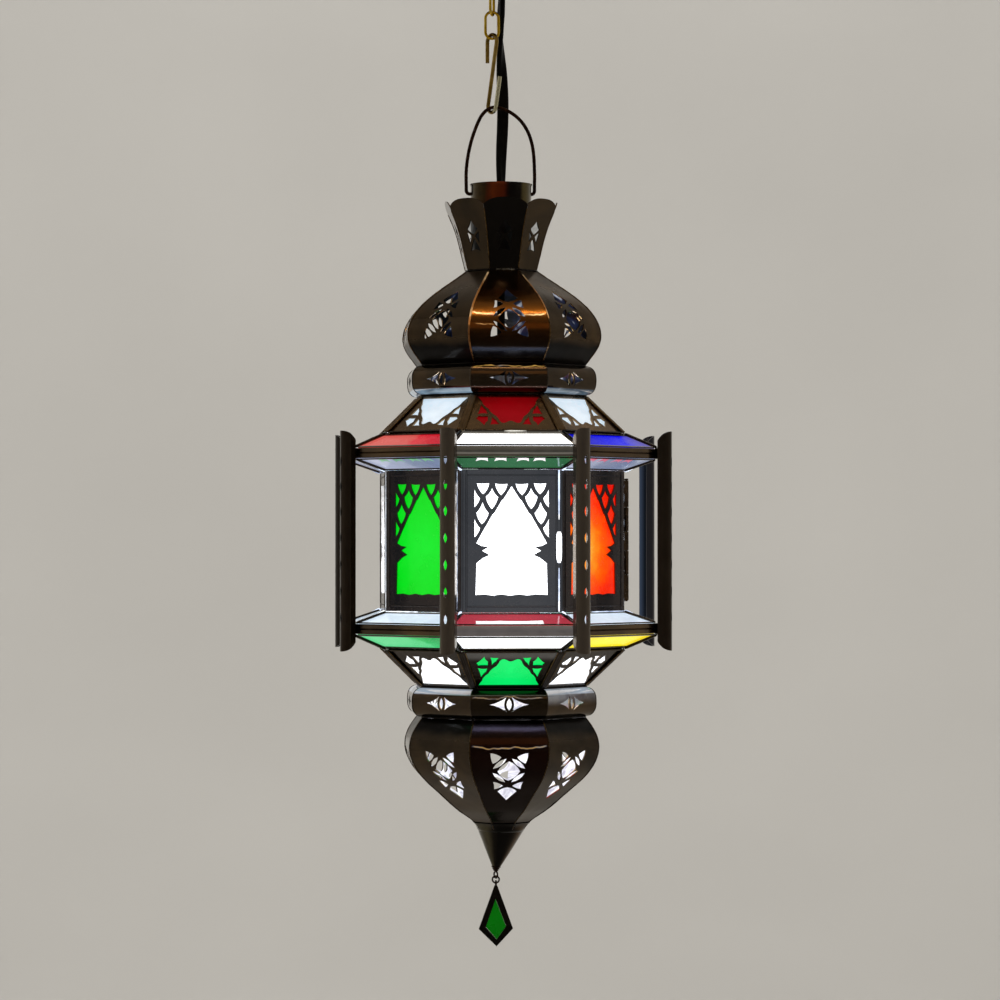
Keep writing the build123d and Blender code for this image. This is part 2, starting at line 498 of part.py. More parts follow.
tab = Cylinder(2.1, 1.2).rotate(Axis.Y, 90).moved(Location((TIP_X, 0, -223.5)))
kite = slab([(-0.9, -224.8), (-11.2, -253.2), (0.4, -264.5), (11.2, -252.9), (0.9, -224.8)], 2.2)
kite = kite - slab([(-0.2, -233.6), (-6.6, -251.8), (0.5, -260.0), (6.6, -251.4)], 6)
kite = kite + tab - Cylinder(1.0, 6).rotate(Axis.Y, 90).moved(Location((TIP_X, 0, -223.5)))
put("pendant_frame", kite.solids())
put("pendant_glass", slab([(-0.2, -233.8), (-6.5, -251.75), (0.5, -259.85), (6.5, -251.35)], 1.6))

# ---------------------------------------------------------------- lamp inside
strap = block(-51.6, 51.6, -6.5, 6.5, 95.9, 97.5) - Cylinder(5.2, 20).moved(Location((0, 0, 96)))
put("lamp_bracket", strap.solids())
stem = Cylinder(5.0, 38, align=(Align.CENTER, Align.CENTER, Align.MIN)).moved(Location((0, 0, 70))) - Cylinder(3.2, 60).moved(Location((0, 0, 90)))
lock = extrude(RegularPolygon(8.2, 6), 3.2).moved(Location((0, 0, 97.7))) - Cylinder(5.05, 20).moved(Location((0, 0, 98)))
put("holder_nipple", stem.solids(), lock.solids())
put("lamp_holder", turned([(5.1, 95.6), (9.0, 95.6), (11.5, 92.0), (14.0, 86.0), (14.0, 62.0), (15.0, 61.0), (15.0, 40.0), (9.0, 40.0), (9.0, 68.0), (5.1, 68.0)]))
put("bulb_cap", turned([(0.0, 66.5), (3.0, 66.5), (6.0, 63.8), (6.9, 62.5), (6.9, 40.5), (0.0, 40.5)]))
globe = [(0.0, -26.0), (6.0, -25.2), (12.0, -22.4), (17.5, -17.4), (21.2, -10.6), (22.5, -3.4), (21.4, 4.4), (18.2, 12.4), (13.8, 20.4), (10.6, 28.4), (8.6, 36.0), (8.0, 40.4), (0.0, 40.4)]
globe_edge = Edge.make_spline([Vector(r, 0, z) for r, z in globe[:-1]], tangents=[Vector(1, 0, 0), Vector(-0.1, 0, 1)])
globe_face = Face(Wire([globe_edge, Edge.make_line(globe_edge @ 1, Vector(0, 0, 40.4)), Edge.make_line(Vector(0, 0, 40.4), globe_edge @ 0)]))
put("bulb", revolve(globe_face, Axis.Z).solids())
put("lamp_lead", Cylinder(2.6, 219.3 - 80, align=(Align.CENTER, Align.CENTER, Align.MIN)).moved(Location((0, 0, 80))).solids())

# ---------------------------------------------------------------- write, with the ceiling face at z = 0
for name, solids in nodes.items():
    moved = [s.moved(Location((0, 0, -HANG))) for s in solids]
    shape = Compound(moved) if len(moved) > 1 else moved[0]
    export_step(shape, f"parts/{name}.step")
print(len(nodes), "nodes,", sum(len(s) for s in nodes.values()), "solids")
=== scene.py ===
import bpy
import math
import random
import numpy as np
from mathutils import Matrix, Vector


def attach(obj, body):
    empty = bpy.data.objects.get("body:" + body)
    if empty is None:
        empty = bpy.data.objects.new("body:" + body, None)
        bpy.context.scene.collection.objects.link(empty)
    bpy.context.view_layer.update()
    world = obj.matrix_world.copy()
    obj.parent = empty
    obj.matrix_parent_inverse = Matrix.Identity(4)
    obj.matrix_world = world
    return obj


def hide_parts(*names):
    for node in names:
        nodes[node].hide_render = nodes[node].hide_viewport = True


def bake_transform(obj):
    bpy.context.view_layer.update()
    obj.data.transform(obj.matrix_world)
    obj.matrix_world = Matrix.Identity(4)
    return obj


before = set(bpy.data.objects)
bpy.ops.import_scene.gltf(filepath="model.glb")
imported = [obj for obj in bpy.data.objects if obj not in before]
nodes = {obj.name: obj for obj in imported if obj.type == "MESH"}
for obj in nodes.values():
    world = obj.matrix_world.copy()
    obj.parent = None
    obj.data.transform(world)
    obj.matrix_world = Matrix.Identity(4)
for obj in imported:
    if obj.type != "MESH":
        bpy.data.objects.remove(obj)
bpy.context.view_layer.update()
scene = bpy.context.scene
MID = -0.400                       # height of the lantern's mid-plane in the frame
C8 = math.cos(math.radians(22.5))
T8 = math.tan(math.radians(22.5))


def lin(r, g, b):
    """A display colour of 0 to 255 as linear light."""
    out = []
    for v in (r, g, b):
        v = v / 255.0
        out.append(v / 12.92 if v <= 0.04045 else ((v + 0.055) / 1.055) ** 2.4)
    return tuple(out) + (1.0,)


# ------------------------------------------------------------------ camera
cam_data = bpy.data.cameras.new("camera")
cam = bpy.data.objects.new("camera", cam_data)
scene.collection.objects.link(cam)
scene.camera = cam
cam_data.sensor_width = 36.0
cam_data.lens = 118.8
cam_data.clip_end = 60.0
yaw, pitch, dist = math.radians(5.0), math.radians(0.712), 2.158
cam.location = (-math.sin(yaw) * dist, -math.cos(yaw) * dist, MID)
aim = yaw - 0.0003
look = Vector((math.sin(aim) * math.cos(pitch), math.cos(aim) * math.cos(pitch), math.sin(pitch)))
cam.rotation_euler = look.to_track_quat("-Z", "Y").to_euler()


# ------------------------------------------------------------------ mesh helpers
def add_mesh(name, verts, faces, material, body=None, smooth=True):
    me = bpy.data.meshes.new(name)
    me.from_pydata([tuple(v) for v in verts], [], faces)
    me.validate()
    me.update()
    for p in me.polygons:
        p.use_smooth = smooth
    ob = bpy.data.objects.new(name, me)
    scene.collection.objects.link(ob)
    ob.data.materials.append(material)
    if body:
        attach(ob, body)
    return ob


def sweep(runs, closed_ends=True):
    """Verts and faces of profiles carried along lines. Each run is a list of rings of points."""
    verts, faces = [], []
    for rings in runs:
        base, n = len(verts), len(rings[0])
        for ring in rings:
            verts.extend(ring)
        for i in range(len(rings) - 1):
            for j in range(n):
                a, b = base + i * n + j, base + i * n + (j + 1) % n
                faces.append((a, b, b + n, a + n))
        if closed_ends:
            faces.append(tuple(base + j for j in reversed(range(n))))
            faces.append(tuple(base + (len(rings) - 1) * n + j for j in range(n)))
    return verts, faces


def corner(k, r, z, side=0.0):
    """A point at the corner after face k (mm from the axis and the mid-plane), moved sideways along the rim."""
    a = math.radians(45 * k + 22.5)
    return Vector((r * math.sin(a) + side * math.cos(a), -r * math.cos(a) + side * math.sin(a), z)) * 0.001 + Vector((0, 0, MID))


def outward(k, tilt=0.0):
    a = math.radians(45 * k + 22.5)
    return Vector((math.sin(a) * math.cos(tilt), -math.cos(a) * math.cos(tilt), math.sin(tilt)))


def on_face(k, u, a, z):
    """A point on face k: u along it, a from the axis, z from the mid-plane (mm)."""
    t = math.radians(45 * k)
    return Vector((u * math.cos(t) + a * math.sin(t), u * math.sin(t) - a * math.cos(t), z)) * 0.001 + Vector((0, 0, MID))


def face_dir(k, tilt=0.0):
    t = math.radians(45 * k)
    return Vector((math.sin(t) * math.cos(tilt), -math.cos(t) * math.cos(tilt), math.sin(tilt)))


def bead(line, up, wide, high, rng=None, sides=10, wob=0.0, taper=True, shape=None):
    """Rings of an oval bead along a line, wide across and high along up (metres)."""
    rings = []
    n = len(line)
    for i, p in enumerate(line):
        tan = (line[min(i + 1, n - 1)] - line[max(i - 1, 0)]).normalized()
        w = tan.cross(up).normalized()
        h = w.cross(tan).normalized()
        f = 1.0 + (rng.uniform(-wob, wob) if rng else 0.0)
        if shape:
            f *= float(np.interp(i / (n - 1), np.linspace(0, 1, len(shape)), shape))
        elif taper and (i == 0 or i == n - 1):
            f *= 0.55
        ring = []
        for j in range(sides):
            a = 2 * math.pi * j / sides
            ring.append(p + w * (math.cos(a) * wide * f) + h * (math.sin(a) * high * f))
        rings.append(ring)
    return rings


def between(p, q, n):
    return [p.lerp(q, i / (n - 1)) for i in range(n)]


def smooth_line(pts, n):
    """Points on a natural cubic spline through (radius, height) points, evenly spaced by chord."""
    p = np.array(pts, float)
    d = np.r_[0, np.cumsum(np.hypot(*np.diff(p, axis=0).T))]
    m = len(d)
    h = np.diff(d)
    A = np.zeros((m, m))
    A[0, 0] = A[-1, -1] = 1
    rhs = np.zeros((m, 2))
    for i in range(1, m - 1):
        A[i, i - 1], A[i, i], A[i, i + 1] = h[i - 1], 2 * (h[i - 1] + h[i]), h[i]
        rhs[i] = 6 * ((p[i + 1] - p[i]) / h[i] - (p[i] - p[i - 1]) / h[i - 1])
    mm = np.linalg.solve(A, rhs)
    out = []
    for s in np.linspace(0, d[-1], n):
        i = min(int(np.searchsorted(d, s, side="right")) - 1, m - 2)
        a, b = (d[i + 1] - s) / h[i], (s - d[i]) / h[i]
        out.append(a * p[i] + b * p[i + 1] + ((a**3 - a) * mm[i] + (b**3 - b) * mm[i + 1]) * h[i] ** 2 / 6)
    return out


# ------------------------------------------------------------------ material helpers
def new_mat(name):
    m = bpy.data.materials.new(name)
    m.use_nodes = True
    t = m.node_tree
    return m, t, t.nodes["Principled BSDF"]


def plug(t, socket, value):
    if isinstance(value, bpy.types.NodeSocket):
        t.links.new(value, socket)
    else:
        socket.default_value = value


def mth(t, op, a, b=None, clamp=False):
    n = t.nodes.new("ShaderNodeMath")
    n.operation = op
    n.use_clamp = clamp
    plug(t, n.inputs[0], a)
    if b is not None:
        plug(t, n.inputs[1], b)
    return n.outputs[0]


def span(t, v, a, b, c=0.0, d=1.0, smooth=True):
    n = t.nodes.new("ShaderNodeMapRange")
    n.interpolation_type = "SMOOTHSTEP" if smooth else "LINEAR"
    plug(t, n.inputs["Value"], v)
    n.inputs["From Min"].default_value, n.inputs["From Max"].default_value = a, b
    n.inputs["To Min"].default_value, n.inputs["To Max"].default_value = c, d
    return n.outputs["Result"]


def noise(t, vec, scale, detail=3.0, rough=0.5, warp=0.0):
    n = t.nodes.new("ShaderNodeTexNoise")
    plug(t, n.inputs["Vector"], vec)
    n.inputs["Scale"].default_value = scale
    n.inputs["Detail"].default_value = detail
    n.inputs["Roughness"].default_value = rough
    n.inputs["Distortion"].default_value = warp
    return n.outputs["Fac"]


def ramp(t, fac, stops):
    n = t.nodes.new("ShaderNodeValToRGB")
    plug(t, n.inputs["Fac"], fac)
    el = n.color_ramp.elements
    while len(el) < len(stops):
        el.new(0.5)
    for e, (pos, col) in zip(el, stops):
        e.position = pos
        e.color = col
    return n.outputs["Color"]


def mix(t, fac, a, b):
    n = t.nodes.new("ShaderNodeMix")
    n.data_type = "RGBA"
    plug(t, n.inputs["Factor"], fac)
    plug(t, n.inputs[6], a)
    plug(t, n.inputs[7], b)
    return n.outputs[2]


def stretch(t, vec, sx, sy, sz):
    n = t.nodes.new("ShaderNodeMapping")
    plug(t, n.inputs["Vector"], vec)
    n.inputs["Scale"].default_value = (sx, sy, sz)
    return n.outputs["Vector"]


def bump(t, height, strength, distance, normal=None):
    n = t.nodes.new("ShaderNodeBump")
    n.inputs["Strength"].default_value = strength
    n.inputs["Distance"].default_value = distance
    plug(t, n.inputs["Height"], height)
    if normal is not None:
        plug(t, n.inputs["Normal"], normal)
    return n.outputs["Normal"]


def facet(t):
    """Coordinates of the octagon's nearest face: u along it, z, and the normal's parts along the face and out of it."""
    tc = t.nodes.new("ShaderNodeTexCoord")
    sp = t.nodes.new("ShaderNodeSeparateXYZ")
    t.links.new(tc.outputs["Object"], sp.inputs[0])
    sn = t.nodes.new("ShaderNodeSeparateXYZ")
    t.links.new(tc.outputs["Normal"], sn.inputs[0])
    x, y, z = sp.outputs
    ang = mth(t, "ARCTAN2", x, mth(t, "MULTIPLY", y, -1.0))
    a = mth(t, "MULTIPLY", mth(t, "ROUND", mth(t, "DIVIDE", ang, math.pi / 4)), math.pi / 4)
    ca, sa = mth(t, "COSINE", a), mth(t, "SINE", a)
    u = mth(t, "ADD", mth(t, "MULTIPLY", x, ca), mth(t, "MULTIPLY", y, sa))
    nt = mth(t, "ADD", mth(t, "MULTIPLY", sn.outputs[0], ca), mth(t, "MULTIPLY", sn.outputs[1], sa))
    nn = mth(t, "SUBTRACT", mth(t, "MULTIPLY", sn.outputs[0], sa), mth(t, "MULTIPLY", sn.outputs[1], ca))
    return {"vec": tc.outputs["Object"], "u": u, "z": z, "nt": nt, "nn": nn, "a": a}


def sheet_metal(name, tones, rough=(0.06, 0.16), edge=0.8, inner=None, wave=0.3, grain=0.4, front=0.5, rows=None, lit_edge=None, satin=0.0, lines=(), painted_bevel_reflection=None, dark=None, flank=None, wobble=0.0042, haze=(), coat=0.3, shade=None):
    """Polished, blackened sheet: uneven tone, slight waves, scratches, cut edges of bare metal with a painted
    highlight, painted reflections and shade on the front facet, in rows where given, painted highlight lines, painted
    shade low on the side facets, painted reflections of the lit panes on a bevel and on one side facet, a painted glow
    on edges and outward faces, and a painted glow inside that stands for the lamp's light."""
    m, t, b = new_mat(name)
    f = facet(t)
    v = f["vec"]
    big, mid, fine = noise(t, v, 26, 3, 0.55, 0.6), noise(t, v, 140, 4, 0.6), noise(t, v, 1500, 2)
    streak = noise(t, stretch(t, v, 1.0, 1.0, 0.12), 420, 3, 0.6)
    col = ramp(t, big, [(0.28, tones[0]), (0.52, tones[1]), (0.74, tones[2])])
    col = mix(t, span(t, mid, 0.52, 0.72, 0.0, 0.3), col, tones[3])
    face0 = span(t, mth(t, "ABSOLUTE", f["a"]), 0.2, 0.5, 1.0, 0.0)
    outer = span(t, f["nn"], 0.02, 0.2)
    # painted reflections and shade on the front facet, in rows up its height; without rows, painted shade darkens the
    # front facet towards near black
    if rows is not None:
        z0, z1, stops = rows
        h = mth(t, "ADD", span(t, f["z"], MID + z0 * 0.001, MID + z1 * 0.001, 0.0, 1.0, False), mth(t, "MULTIPLY", mth(t, "SUBTRACT", big, 0.5), 0.07))
        col = mix(t, mth(t, "MULTIPLY", face0, 0.95), col, ramp(t, h, stops))
    elif front < 1:
        col = mix(t, mth(t, "MULTIPLY", face0, 1.0 - front), col, (0.004, 0.0032, 0.0026, 1.0))
    # with the painted edge glow on, the facets beside the front are mixed towards a warm brown
    if lit_edge is not None:
        col = mix(t, span(t, face0, 0.0, 1.0, 0.8, 0.0), col, lin(72, 58, 50))
    # painted shade: the side facets darkened towards near black below a given height
    if dark is not None:
        zz = mth(t, "ADD", f["z"], mth(t, "MULTIPLY", mth(t, "SUBTRACT", noise(t, v, 60, 2, 0.5), 0.5), 0.006))
        low = mth(t, "MULTIPLY", span(t, zz, MID + dark[0] * 0.001, MID + dark[1] * 0.001, 0.0, 0.95), mth(t, "SUBTRACT", 1.0, face0))
        col = mix(t, low, col, (0.003, 0.003, 0.0035, 1.0))
    cut = span(t, mth(t, "ABSOLUTE", f["nt"]), 0.30, 0.62)
    # cut edges mixed towards gold: bare metal showing on the cut, and partly a painted highlight
    if edge:
        edge_wear_and_highlight = mth(t, "MULTIPLY", cut, span(t, mid, 0.30, 0.62, 0.35 * edge, edge))
        col = mix(t, edge_wear_and_highlight, col, lin(206, 164, 106))
    inside, glow_col, glow = None, (0.0, 0.0, 0.0, 1.0), None
    # painted glow on the inside that stands for the lamp's light, over a given inside colour; with shade set, the glow
    # is dimmed on one facet (painted shade)
    if inner is not None:
        inside = span(t, f["nn"], -0.06, -0.3)
        col = mix(t, inside, col, inner[5])
        cloud = noise(t, v, inner[4], 3, 0.6, 0.8)
        glow_col = ramp(t, cloud, [(inner[6][0], inner[0]), (inner[6][1], inner[1]), (inner[6][2], inner[2])])
        glow = mth(t, "MULTIPLY", inside, inner[3])
        if shade is not None:
            away = span(t, mth(t, "ABSOLUTE", mth(t, "SUBTRACT", f["a"], shade)), 0.2, 0.5, 0.1, 1.0)
            glow = mth(t, "MULTIPLY", glow, away)
    # painted light: a glow on the cut edges of the left facets and over the outward faces, strongest on the front
    if lit_edge is not None:
        side = span(t, mth(t, "ABSOLUTE", mth(t, "ADD", f["a"], math.pi / 2)), 0.2, 0.5, 1.0, 0.0)
        rim = mth(t, "MULTIPLY", cut, side)
        glow_col = ramp(t, big, [(0.3, lin(198, 206, 222)), (0.7, lin(226, 232, 246))])
        glow_col = mix(t, rim, glow_col, ramp(t, streak, [(0.3, lin(150, 156, 166)), (0.55, lin(246, 250, 255))]))
        lift = mth(t, "MULTIPLY", span(t, f["nn"], 0.5, 0.9), span(t, face0, 0.0, 1.0, lit_edge[1] * 0.16, lit_edge[1]))
        glow = mth(t, "ADD", mth(t, "MULTIPLY", rim, lit_edge[0]), lift)
    # painted reflection: a light band round the side facets at a given height, standing for lit panes mirrored in a
    # bevel
    if painted_bevel_reflection is not None:
        zc, half, colour, power = painted_bevel_reflection
        d = mth(t, "ABSOLUTE", mth(t, "SUBTRACT", f["z"], MID + zc * 0.001))
        mask = mth(t, "MULTIPLY", span(t, d, half * 0.0006, half * 0.001, 1.0, 0.0), mth(t, "MULTIPLY", outer, mth(t, "SUBTRACT", 1.0, face0)))
        mask = mth(t, "MULTIPLY", mask, span(t, big, 0.3, 0.62, 0.45, 1.0))
        glow_col = mix(t, mask, glow_col, colour)
        part = mth(t, "MULTIPLY", mask, power)
        glow = part if glow is None else mth(t, "ADD", glow, part)
    # painted reflection on the outward face of one facet between given heights, fading across it
    if flank is not None:
        turn, z0, z1, u0, u1, colour, power = flank
        mask = span(t, mth(t, "ABSOLUTE", mth(t, "SUBTRACT", f["a"], turn)), 0.2, 0.5, 1.0, 0.0)
        mask = mth(t, "MULTIPLY", mask, mth(t, "MULTIPLY", outer, span(t, f["z"], MID + z0 * 0.001, MID + z1 * 0.001)))
        mask = mth(t, "MULTIPLY", mask, span(t, f["u"], u0 * 0.001, u1 * 0.001, 0.25, 1.0))
        glow_col = mix(t, mask, glow_col, colour)
        part = mth(t, "MULTIPLY", mask, power)
        glow = part if glow is None else mth(t, "ADD", glow, part)
    # painted highlight lines across the front facet, gently bent and wavy
    if lines:
        run = noise(t, stretch(t, v, 1.0, 1.0, 0.1), 110, 2, 0.5)
        uu = mth(t, "DIVIDE", f["u"], 0.024)
        uu = mth(t, "MULTIPLY", uu, uu)
    for zc, half, bend, u0, u1, colour, power in lines:
        d = mth(t, "SUBTRACT", f["z"], MID + zc * 0.001)
        d = mth(t, "SUBTRACT", d, mth(t, "MULTIPLY", uu, bend * 0.001))
        d = mth(t, "ABSOLUTE", mth(t, "ADD", d, mth(t, "MULTIPLY", mth(t, "SUBTRACT", run, 0.5), wobble)))
        mask = mth(t, "MULTIPLY", span(t, d, half * 0.0002, half * 0.001, 1.0, 0.0), mth(t, "MULTIPLY", face0, outer))
        ends = mth(t, "MULTIPLY", span(t, f["u"], u0 * 0.001, (u0 + 3) * 0.001), span(t, f["u"], (u1 - 3) * 0.001, u1 * 0.001, 1.0, 0.0))
        mask = mth(t, "MULTIPLY", mth(t, "MULTIPLY", mask, ends), span(t, mid, 0.32, 0.58, 0.4 if wobble > 0.002 else 0.9, 1.0))
        glow_col = mix(t, mask, glow_col, colour)
        part = mth(t, "MULTIPLY", mask, power)
        glow = part if glow is None else mth(t, "ADD", glow, part)
    if glow is not None:
        plug(t, b.inputs["Emission Color"], glow_col)
        plug(t, b.inputs["Emission Strength"], glow)
    plug(t, b.inputs["Base Color"], col)
    b.inputs["Metallic"].default_value = 1.0
    r = mth(t, "ADD", span(t, mid, 0.3, 0.75, rough[0], rough[1]), mth(t, "MULTIPLY", mth(t, "SUBTRACT", streak, 0.5), 0.08))
    if satin:
        r = mth(t, "ADD", r, mth(t, "MULTIPLY", face0, satin))
    for z0, z1, amount in haze:
        dull = span(t, f["z"], MID + z0 * 0.001, MID + z1 * 0.001, 0.0, amount)
        r = mth(t, "ADD", r, mth(t, "MULTIPLY", dull, mth(t, "SUBTRACT", 1.0, face0)))
    if inside is not None:
        r = mth(t, "ADD", r, mth(t, "MULTIPLY", inside, 0.35))
    plug(t, b.inputs["Roughness"], mth(t, "MAXIMUM", r, 0.035))
    b.inputs["Coat Weight"].default_value = coat
    b.inputs["Coat Roughness"].default_value = 0.06
    n1 = bump(t, noise(t, v, 34, 2, 0.5), wave, 0.0018)
    n2 = bump(t, mth(t, "ADD", mth(t, "MULTIPLY", streak, 0.7), mth(t, "MULTIPLY", fine, 0.5)), grain * 0.06, 0.0003, n1)
    plug(t, b.inputs["Normal"], n2)
    return m


def plain_metal(name, tones, rough=(0.2, 0.4), metallic=1.0, scale=160, grain=0.3, coat=0.0):
    m, t, b = new_mat(name)
    tc = t.nodes.new("ShaderNodeTexCoord")
    v = tc.outputs["Object"]
    big, fine = noise(t, v, scale, 4, 0.6, 0.4), noise(t, v, scale * 9, 3)
    col = ramp(t, big, [(0.3, tones[0]), (0.52, tones[1]), (0.72, tones[2])])
    plug(t, b.inputs["Base Color"], col)
    b.inputs["Metallic"].default_value = metallic
    plug(t, b.inputs["Roughness"], span(t, noise(t, v, scale * 2.3, 3), 0.3, 0.7, rough[0], rough[1]))
    b.inputs["Coat Weight"].default_value = coat
    plug(t, b.inputs["Normal"], bump(t, mth(t, "ADD", big, mth(t, "MULTIPLY", fine, 0.4)), grain, 0.0005))
    return m


def glass(name, base, stops, power, z0, reach, u0=0.0, trans=0.25, rough=0.22, mottle=0.22, wave=0.25, squeeze=1.0, coat=0.6, along=None, spec=0.5):
    """Hand-made pane with a painted glow standing for the lamp's light behind it: the glow falls off from its brightest
    point, with seeds and ripples.
    """
    m, t, b = new_mat(name)
    f = facet(t)
    v = f["vec"]
    du = mth(t, "SUBTRACT", f["u"], u0 * 0.001)
    dz = mth(t, "MULTIPLY", mth(t, "SUBTRACT", f["z"], MID + z0 * 0.001), squeeze)
    d = mth(t, "SQRT", mth(t, "ADD", mth(t, "MULTIPLY", du, du), mth(t, "MULTIPLY", dz, dz)))
    d = mth(t, "DIVIDE", d, reach * 0.001)
    if along:
        tilt_u = mth(t, "ADD", f["u"], mth(t, "MULTIPLY", mth(t, "SUBTRACT", f["z"], MID + z0 * 0.001), along[2]))
        d = span(t, tilt_u, along[0] * 0.001, along[1] * 0.001, 0.0, 1.0, False)
    cloud, seeds = noise(t, v, 120, 4, 0.6, 0.5), noise(t, v, 900, 2, 0.5)
    d = mth(t, "ADD", d, mth(t, "MULTIPLY", mth(t, "SUBTRACT", cloud, 0.5), mottle * 2))
    d = mth(t, "ADD", d, mth(t, "MULTIPLY", mth(t, "SUBTRACT", seeds, 0.5), mottle * 0.8), clamp=True)
    plug(t, b.inputs["Emission Color"], ramp(t, d, stops))
    b.inputs["Emission Strength"].default_value = power
    deep = tuple(c * 0.8 for c in base[:3]) + (1.0,)
    plug(t, b.inputs["Base Color"], mix(t, span(t, cloud, 0.35, 0.65), base, deep))
    plug(t, b.inputs["Roughness"], span(t, cloud, 0.3, 0.7, rough * 0.8, rough * 1.3))
    b.inputs["IOR"].default_value = 1.5
    b.inputs["Specular IOR Level"].default_value = spec
    b.inputs["Transmission Weight"].default_value = trans
    b.inputs["Coat Weight"].default_value = coat
    b.inputs["Coat Roughness"].default_value = 0.03
    nrm = bump(t, mth(t, "ADD", noise(t, v, 90, 3, 0.5), mth(t, "MULTIPLY", seeds, 0.25)), wave, 0.0008)
    plug(t, b.inputs["Normal"], nrm)
    plug(t, b.inputs["Coat Normal"], bump(t, noise(t, v, 55, 2), wave * 0.5, 0.0008))
    return m


# ------------------------------------------------------------------ flex from the ceiling fitting to the neck
cable_route = [
    (0.0, 0.0, 219.6), (0.0, 0.5, 237.5), (0.4, 3.0, 253.5), (1.6, 6.6, 270.0), (2.1, 8.1, 287.0), (1.4, 8.2, 304.5),
    (0.5, 7.9, 321.0), (0.2, 7.6, 337.5), (1.0, 7.2, 354.0), (1.7, 7.0, 369.5), (3.0, 6.8, 385.0), (4.0, 6.6, 399.4),
]
cu = bpy.data.curves.new("flex_route", "CURVE")
cu.dimensions = "3D"
sp = cu.splines.new("NURBS")
sp.points.add(len(cable_route) - 1)
for pt, (x, y, z) in zip(sp.points, cable_route):
    pt.co = (x * 0.001, y * 0.001, z * 0.001 + MID, 1.0)
sp.order_u = 3
sp.use_endpoint_u = True
sp.resolution_u = 16
route = bpy.data.objects.new("flex_route", cu)
scene.collection.objects.link(route)
bpy.context.view_layer.update()
line_mesh = bpy.data.meshes.new_from_object(route.evaluated_get(bpy.context.evaluated_depsgraph_get()))
flex_line = [v.co.copy() for v in line_mesh.vertices]
bpy.data.objects.remove(route)
if flex_line[0].z > flex_line[-1].z:
    flex_line.reverse()

mat_flex, t, b = new_mat("flex_sheath")
tc = t.nodes.new("ShaderNodeTexCoord")
v = tc.outputs["Object"]
soft = noise(t, v, 260, 3)
plug(t, b.inputs["Base Color"], ramp(t, soft, [(0.3, lin(2, 2, 2)), (0.7, lin(8, 8, 8))]))
plug(t, b.inputs["Roughness"], span(t, soft, 0.3, 0.7, 0.42, 0.6))
b.inputs["Specular IOR Level"].default_value = 0.12
plug(t, b.inputs["Normal"], bump(t, mth(t, "ADD", soft, mth(t, "MULTIPLY", noise(t, stretch(t, v, 1, 1, 0.05), 2600, 2), 0.5)), 0.25, 0.0003))

TWIST = [(219, 62), (231, 56), (245, 38), (262, 14), (280, 2), (296, 6), (308, 26), (320, 62), (332, 92), (346, 108), (360, 96), (389, 140), (400, 150)]
WIDE = [(219, 0.84), (228, 0.86), (236, 0.97), (246, 1.0), (400, 1.0)]


def flex_ring(p, tan):
    z = (p.z - MID) * 1000
    th = math.radians(float(np.interp(z, [a for a, _ in TWIST], [d for _, d in TWIST])))
    w = Vector((math.cos(th), math.sin(th), 0.0))
    w = (w - tan * w.dot(tan)).normalized()
    n = tan.cross(w)
    k = float(np.interp(z, [a for a, _ in WIDE], [d for _, d in WIDE]))
    half, r, dip = 0.00192 * k, 0.00186 * k, 0.74
    ring = []
    for j in range(28):
        a = 2 * math.pi * j / 28
        # two round cores side by side, with a shallow waist between them
        ca, sa = math.cos(a), math.sin(a)
        x = (half if ca > 0 else -half) + r * ca
        y = r * sa
        if abs(ca) < 0.30:
            x = (half + r * 0.30) * (ca / 0.30)
            y = r * math.copysign(dip + (1 - dip) * (abs(ca) / 0.30) ** 2, sa) * 0.955
        ring.append(p + w * x + n * y)
    return ring


rings = []
for i, p in enumerate(flex_line):
    tan = (flex_line[min(i + 1, len(flex_line) - 1)] - flex_line[max(i - 1, 0)]).normalized()
    rings.append(flex_ring(p, tan))
vv, ff = sweep([rings])
flex = add_mesh("flex", vv, ff, mat_flex)
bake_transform(flex)
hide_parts("supply_cable")

# ------------------------------------------------------------------ materials of the carried-over parts
BRONZE = [lin(66, 54, 40), lin(86, 71, 53), lin(104, 82, 57), lin(72, 63, 53)]
# painted shade: a darker copy of the bronze tones, for the onion below
DARKER = [lin(56, 48, 39), lin(76, 65, 52), lin(92, 76, 56), lin(64, 58, 51)]
# painted glow of the lamp's light on the insides of the gores, rings and crown: each set gives three glow colours,
# strength, cloud scale, inside colour and ramp stops
PALE, NIGHT, GREY = (0.36, 0.50, 0.60), (0.525, 0.625, 0.70), (0.43, 0.545, 0.64)
LIT = (lin(150, 150, 172), lin(226, 228, 240), lin(255, 255, 255), 1.0, 85, lin(120, 118, 122), PALE)
DIM = (lin(3, 4, 7), lin(26, 36, 66), lin(214, 220, 232), 0.66, 44, lin(24, 25, 30), NIGHT)
HALF = (lin(4, 5, 9), lin(44, 54, 86), lin(226, 230, 242), 0.7, 60, lin(34, 35, 40), GREY)
CUP = (lin(120, 120, 116), lin(196, 196, 190), lin(236, 236, 230), 0.42, 60, lin(120, 118, 122), PALE)

